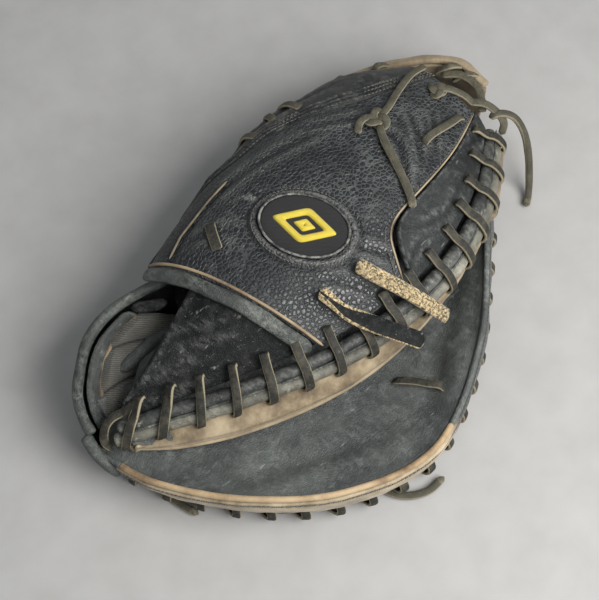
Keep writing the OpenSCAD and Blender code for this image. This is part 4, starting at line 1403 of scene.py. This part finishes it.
def make_finger_back():
    """The back of the fingers, which the mitt lies on, with a groove between each pair of stalls and painted
    shade in the grooves.
    """
    def form(p, t, s, border, run):
        grooves = sum(bell((s - c) * 150, 4.0) for c in FINGER_GROOVES) * np.clip((t - 0.3) * 6, 0, 1)
        h = -3.2 * grooves + 0.5 * wobble(p, 20, 94, 2)
        # painted shade in the grooves between the stalls
        return h, 0.3 * bell(border, 2), 0.8 * np.clip(grooves, 0, 1) ** 2
    panel("finger_back", "back", FINGER, "black_leather", FINGER_BACK, row(0.02, 0.99, 0.03),
          [(0.02, 0.72), (0.33, 0.7), (0.66, 0.66), (0.99, 0.66)], 2.4, side=-1, nt=150, ns=90, form=form,
          low=0.0)
    stalls = Shape()
    for k in range(4):
        path = [(-70 + 10 * k, 44 - 26 * k, 8), (0, 46 - 28 * k, 8), (70, 48 - 26 * k, 8),
                (128 - 4 * k, 40 - 18 * k, 9)]
        strand(stalls, smooth(path, 60), 6.6, 6.2, sides=14, taper=4)
    stalls.make("finger_stalls", "lining", FINGER, "black_leather")


def make_finger_half():
    panel("finger_palm", "palm", FINGER, "black_leather", FINGER_PALM, row(0.01, 0.99, 0.01),
          row(0.01, 0.99, 0.9), 2.6, nt=190, ns=100,
          form=relief(FINGER_PALM, PALM_CREASES, (36, 1.1), (6, 0.14), 90, 0.2, 0.25))
    make_finger_piping()
    make_finger_band()
    make_finger_back()
    pad("finger_pad", FINGER_PALM, row(0.06, 0.94, 0.12), row(0.06, 0.94, 0.82), 1, FINGER)
    panel("finger_lining", "lining", FINGER, "lining_cloth", FINGER_PALM, row(0.08, 0.92, 0.15),
          row(0.08, 0.92, 0.8), 1.5, nt=80, ns=30, lift=-4.4, low=4.8, form=over_pad(95))
    path = np.stack([np.linspace(-104, 146, 90), np.full(90, FOLD_Y), np.full(90, FOLD_Z)], 1)
    roll("palm_crease", "palm", FINGER, "black_leather", path, 8.8 + 0.3 * wobble(path, 9, 96), 8.8,
         sides=20, taper=3)
    finger_loop("finger_loop", (20, 50, 13), FINGER)
    lace("palm_tie", "lace", FINGER, PALM_TIE, 30, 4.6, 2.2, node="palm_tie")
    make_collar()
    make_wrist_inside()
    make_web()
    make_spine()


def make_collar():
    panel("wrist_collar", "collar", FINGER, "black_leather", COLLAR_NET, row(0, 1, 0.03), row(0, 1, 0.97),
          2.4, side=-1, nt=120, ns=50, form=relief(COLLAR_NET, COLLAR_CREASES, (20, 1.0), (6, 0.2), 100, 0.4))
    path = uneven(on(COLLAR_NET, np.linspace(0, 1, 120), np.ones(120)) + (0, 0, 1.6), 18, 101, 0.5)
    width = 6.4 * (1 + 0.06 * wobble(path, 10, 104))
    roll("wrist_binding", "collar", FINGER, "black_leather", path, width, 6.4,
         sides=20, taper=3, wear=patches(path, 0.2, 0.5, 14, 105))


def wrist_net(steps):
    """A net that runs in from the collar's top edge. steps are (inward, up) for its four columns."""
    net_rows = []
    for column in np.array(COLLAR_NET, float)[1:]:
        top = column[3]
        inward = unit((WRIST - top) * (1, 1, 0))
        net_rows.append([top + inward * reach + (0, 0, up) for reach, up in steps])
    return np.array(net_rows)


def make_wrist_inside():
    """A facing lies inside the collar's top edge, and the lining runs on from it in three soft lobes."""
    facing = wrist_net([(4.5, -1.5), (7, 1), (11, -1), (14, -6)])
    inside = wrist_net([(12.5, -5), (19, -5), (29, -7), (42, -16)])
    panel("wrist_facing", "collar", FINGER, "black_leather", facing, row(0.02, 0.98, 0), row(0.02, 0.98, 1),
          1.8, nt=110, ns=24, form=relief(facing, [], (14, 0.8), (5, 0.2), 107, 0.5))
    path = uneven(on(facing, np.linspace(0.03, 0.97, 110), np.full(110, 0.98)) + (0, 0, 0.6), 9, 108, 0.5)
    dye(roll("wrist_trim", "piping", FINGER, None, path, 2.4 * (1 + 0.2 * wobble(path, 5, 112)), 2.0,
             sides=10, taper=3), 0.4)

    def folds(p, t, s, border, run):
        lobe = np.abs(np.sin(math.pi * (3.0 * t + 0.25 * s + 0.05)))
        h = 5.0 * np.sqrt(lobe) * np.clip(border / 5, 0, 1) + 0.7 * wobble(p, 10, 106, 2)
        # painted shade in the creases between the lining's lobes
        return h, 0.0, np.clip(1 - lobe * 4, 0, 1) * 0.9
    panel("wrist_lining", "lining", FINGER, "lining_cloth", inside, row(0.0, 1, 0.0), row(0.0, 1, 1.0), 1.4,
          nt=130, ns=80, form=folds)
    path = smooth([(-76, 50, 57), (-71, 45, 58), (-66, 41, 59), (-60, 37, 60)], 30)
    roll("wrist_roll", "base", FINGER, None, path, 8.0, 5.0, up=(0.2, 0.2, 1), sides=18, taper=9, power=2.2,
         wear=0.2)
    path = smooth([(-139, -8, 20), (-142, -1, 26), (-143, 8, 32), (-142, 16, 39)], 36)
    roll("heel_welt", "collar", FINGER, "black_leather", path, 7.4 + 0.5 * wobble(path, 8, 109), 6.6,
         sides=18, taper=3, wear=0.2)


def make_web():
    panel("web", "tan", FINGER, "tan_leather", WEB_NET, row(0, 1, 0.02), row(0, 1, 0.98), 3.2, side=-1,
          nt=130, ns=44, form=relief(WEB_NET, WEB_CREASES, (16, 1.0), (5, 0.3), 110))
    path = on(WEB_NET, np.linspace(0, 1, 260), np.ones(260)) + (0, 0, 1.8)
    ripple = np.sin(run_along(path) * 2.1 + 5 * wobble(path, 9, 111))
    wrinkle = ripple * np.clip(0.6 + wobble(path, 13, 114), 0, 1)
    path = uneven(path, 16, 115, 1.1)
    width = 7.0 + 0.06 * wrinkle + 1.6 * wobble(path, 14, 112)
    # painted shade in the troughs of the binding's wrinkles
    roll("web_binding", "tan", FINGER, "tan_leather", path, width, 3.8 + 0.05 * wrinkle,
         up=(0.4, 0.3, 1), sides=20, power=3.2, taper=4,
         wear=patches(path, 0.3, 0.5, 12, 113), dent=np.clip(-wrinkle, 0, 1) * 0.06)
    for k, places in enumerate(WEB_LACES, 1):
        lace("web_lace_%d" % k, "lace_olive", FINGER, places, 20, 5.0, 2.4, None, up=(0, 0.2, 1), wear=0.3)
    lace("web_tie", "lace_olive", FINGER, WEB_TIE, 34, 5.0, 3.0, None, power=3.0, wear=0.2)


def make_spine():
    """Leather that folds over the spine, between the two halves."""
    form = relief(SPINE_WRAP, SPINE_CREASES, (22, 1.2), (6, 0.3), 120)
    piece = panel("spine_leather", "back", None, "black_leather", SPINE_WRAP, row(0.36, 0.985, 0.0),
                  row(0.36, 0.985, 1.0), 2.2, "spine_gusset", nt=150, ns=60, form=form)
    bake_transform(piece)


make_finger_half()
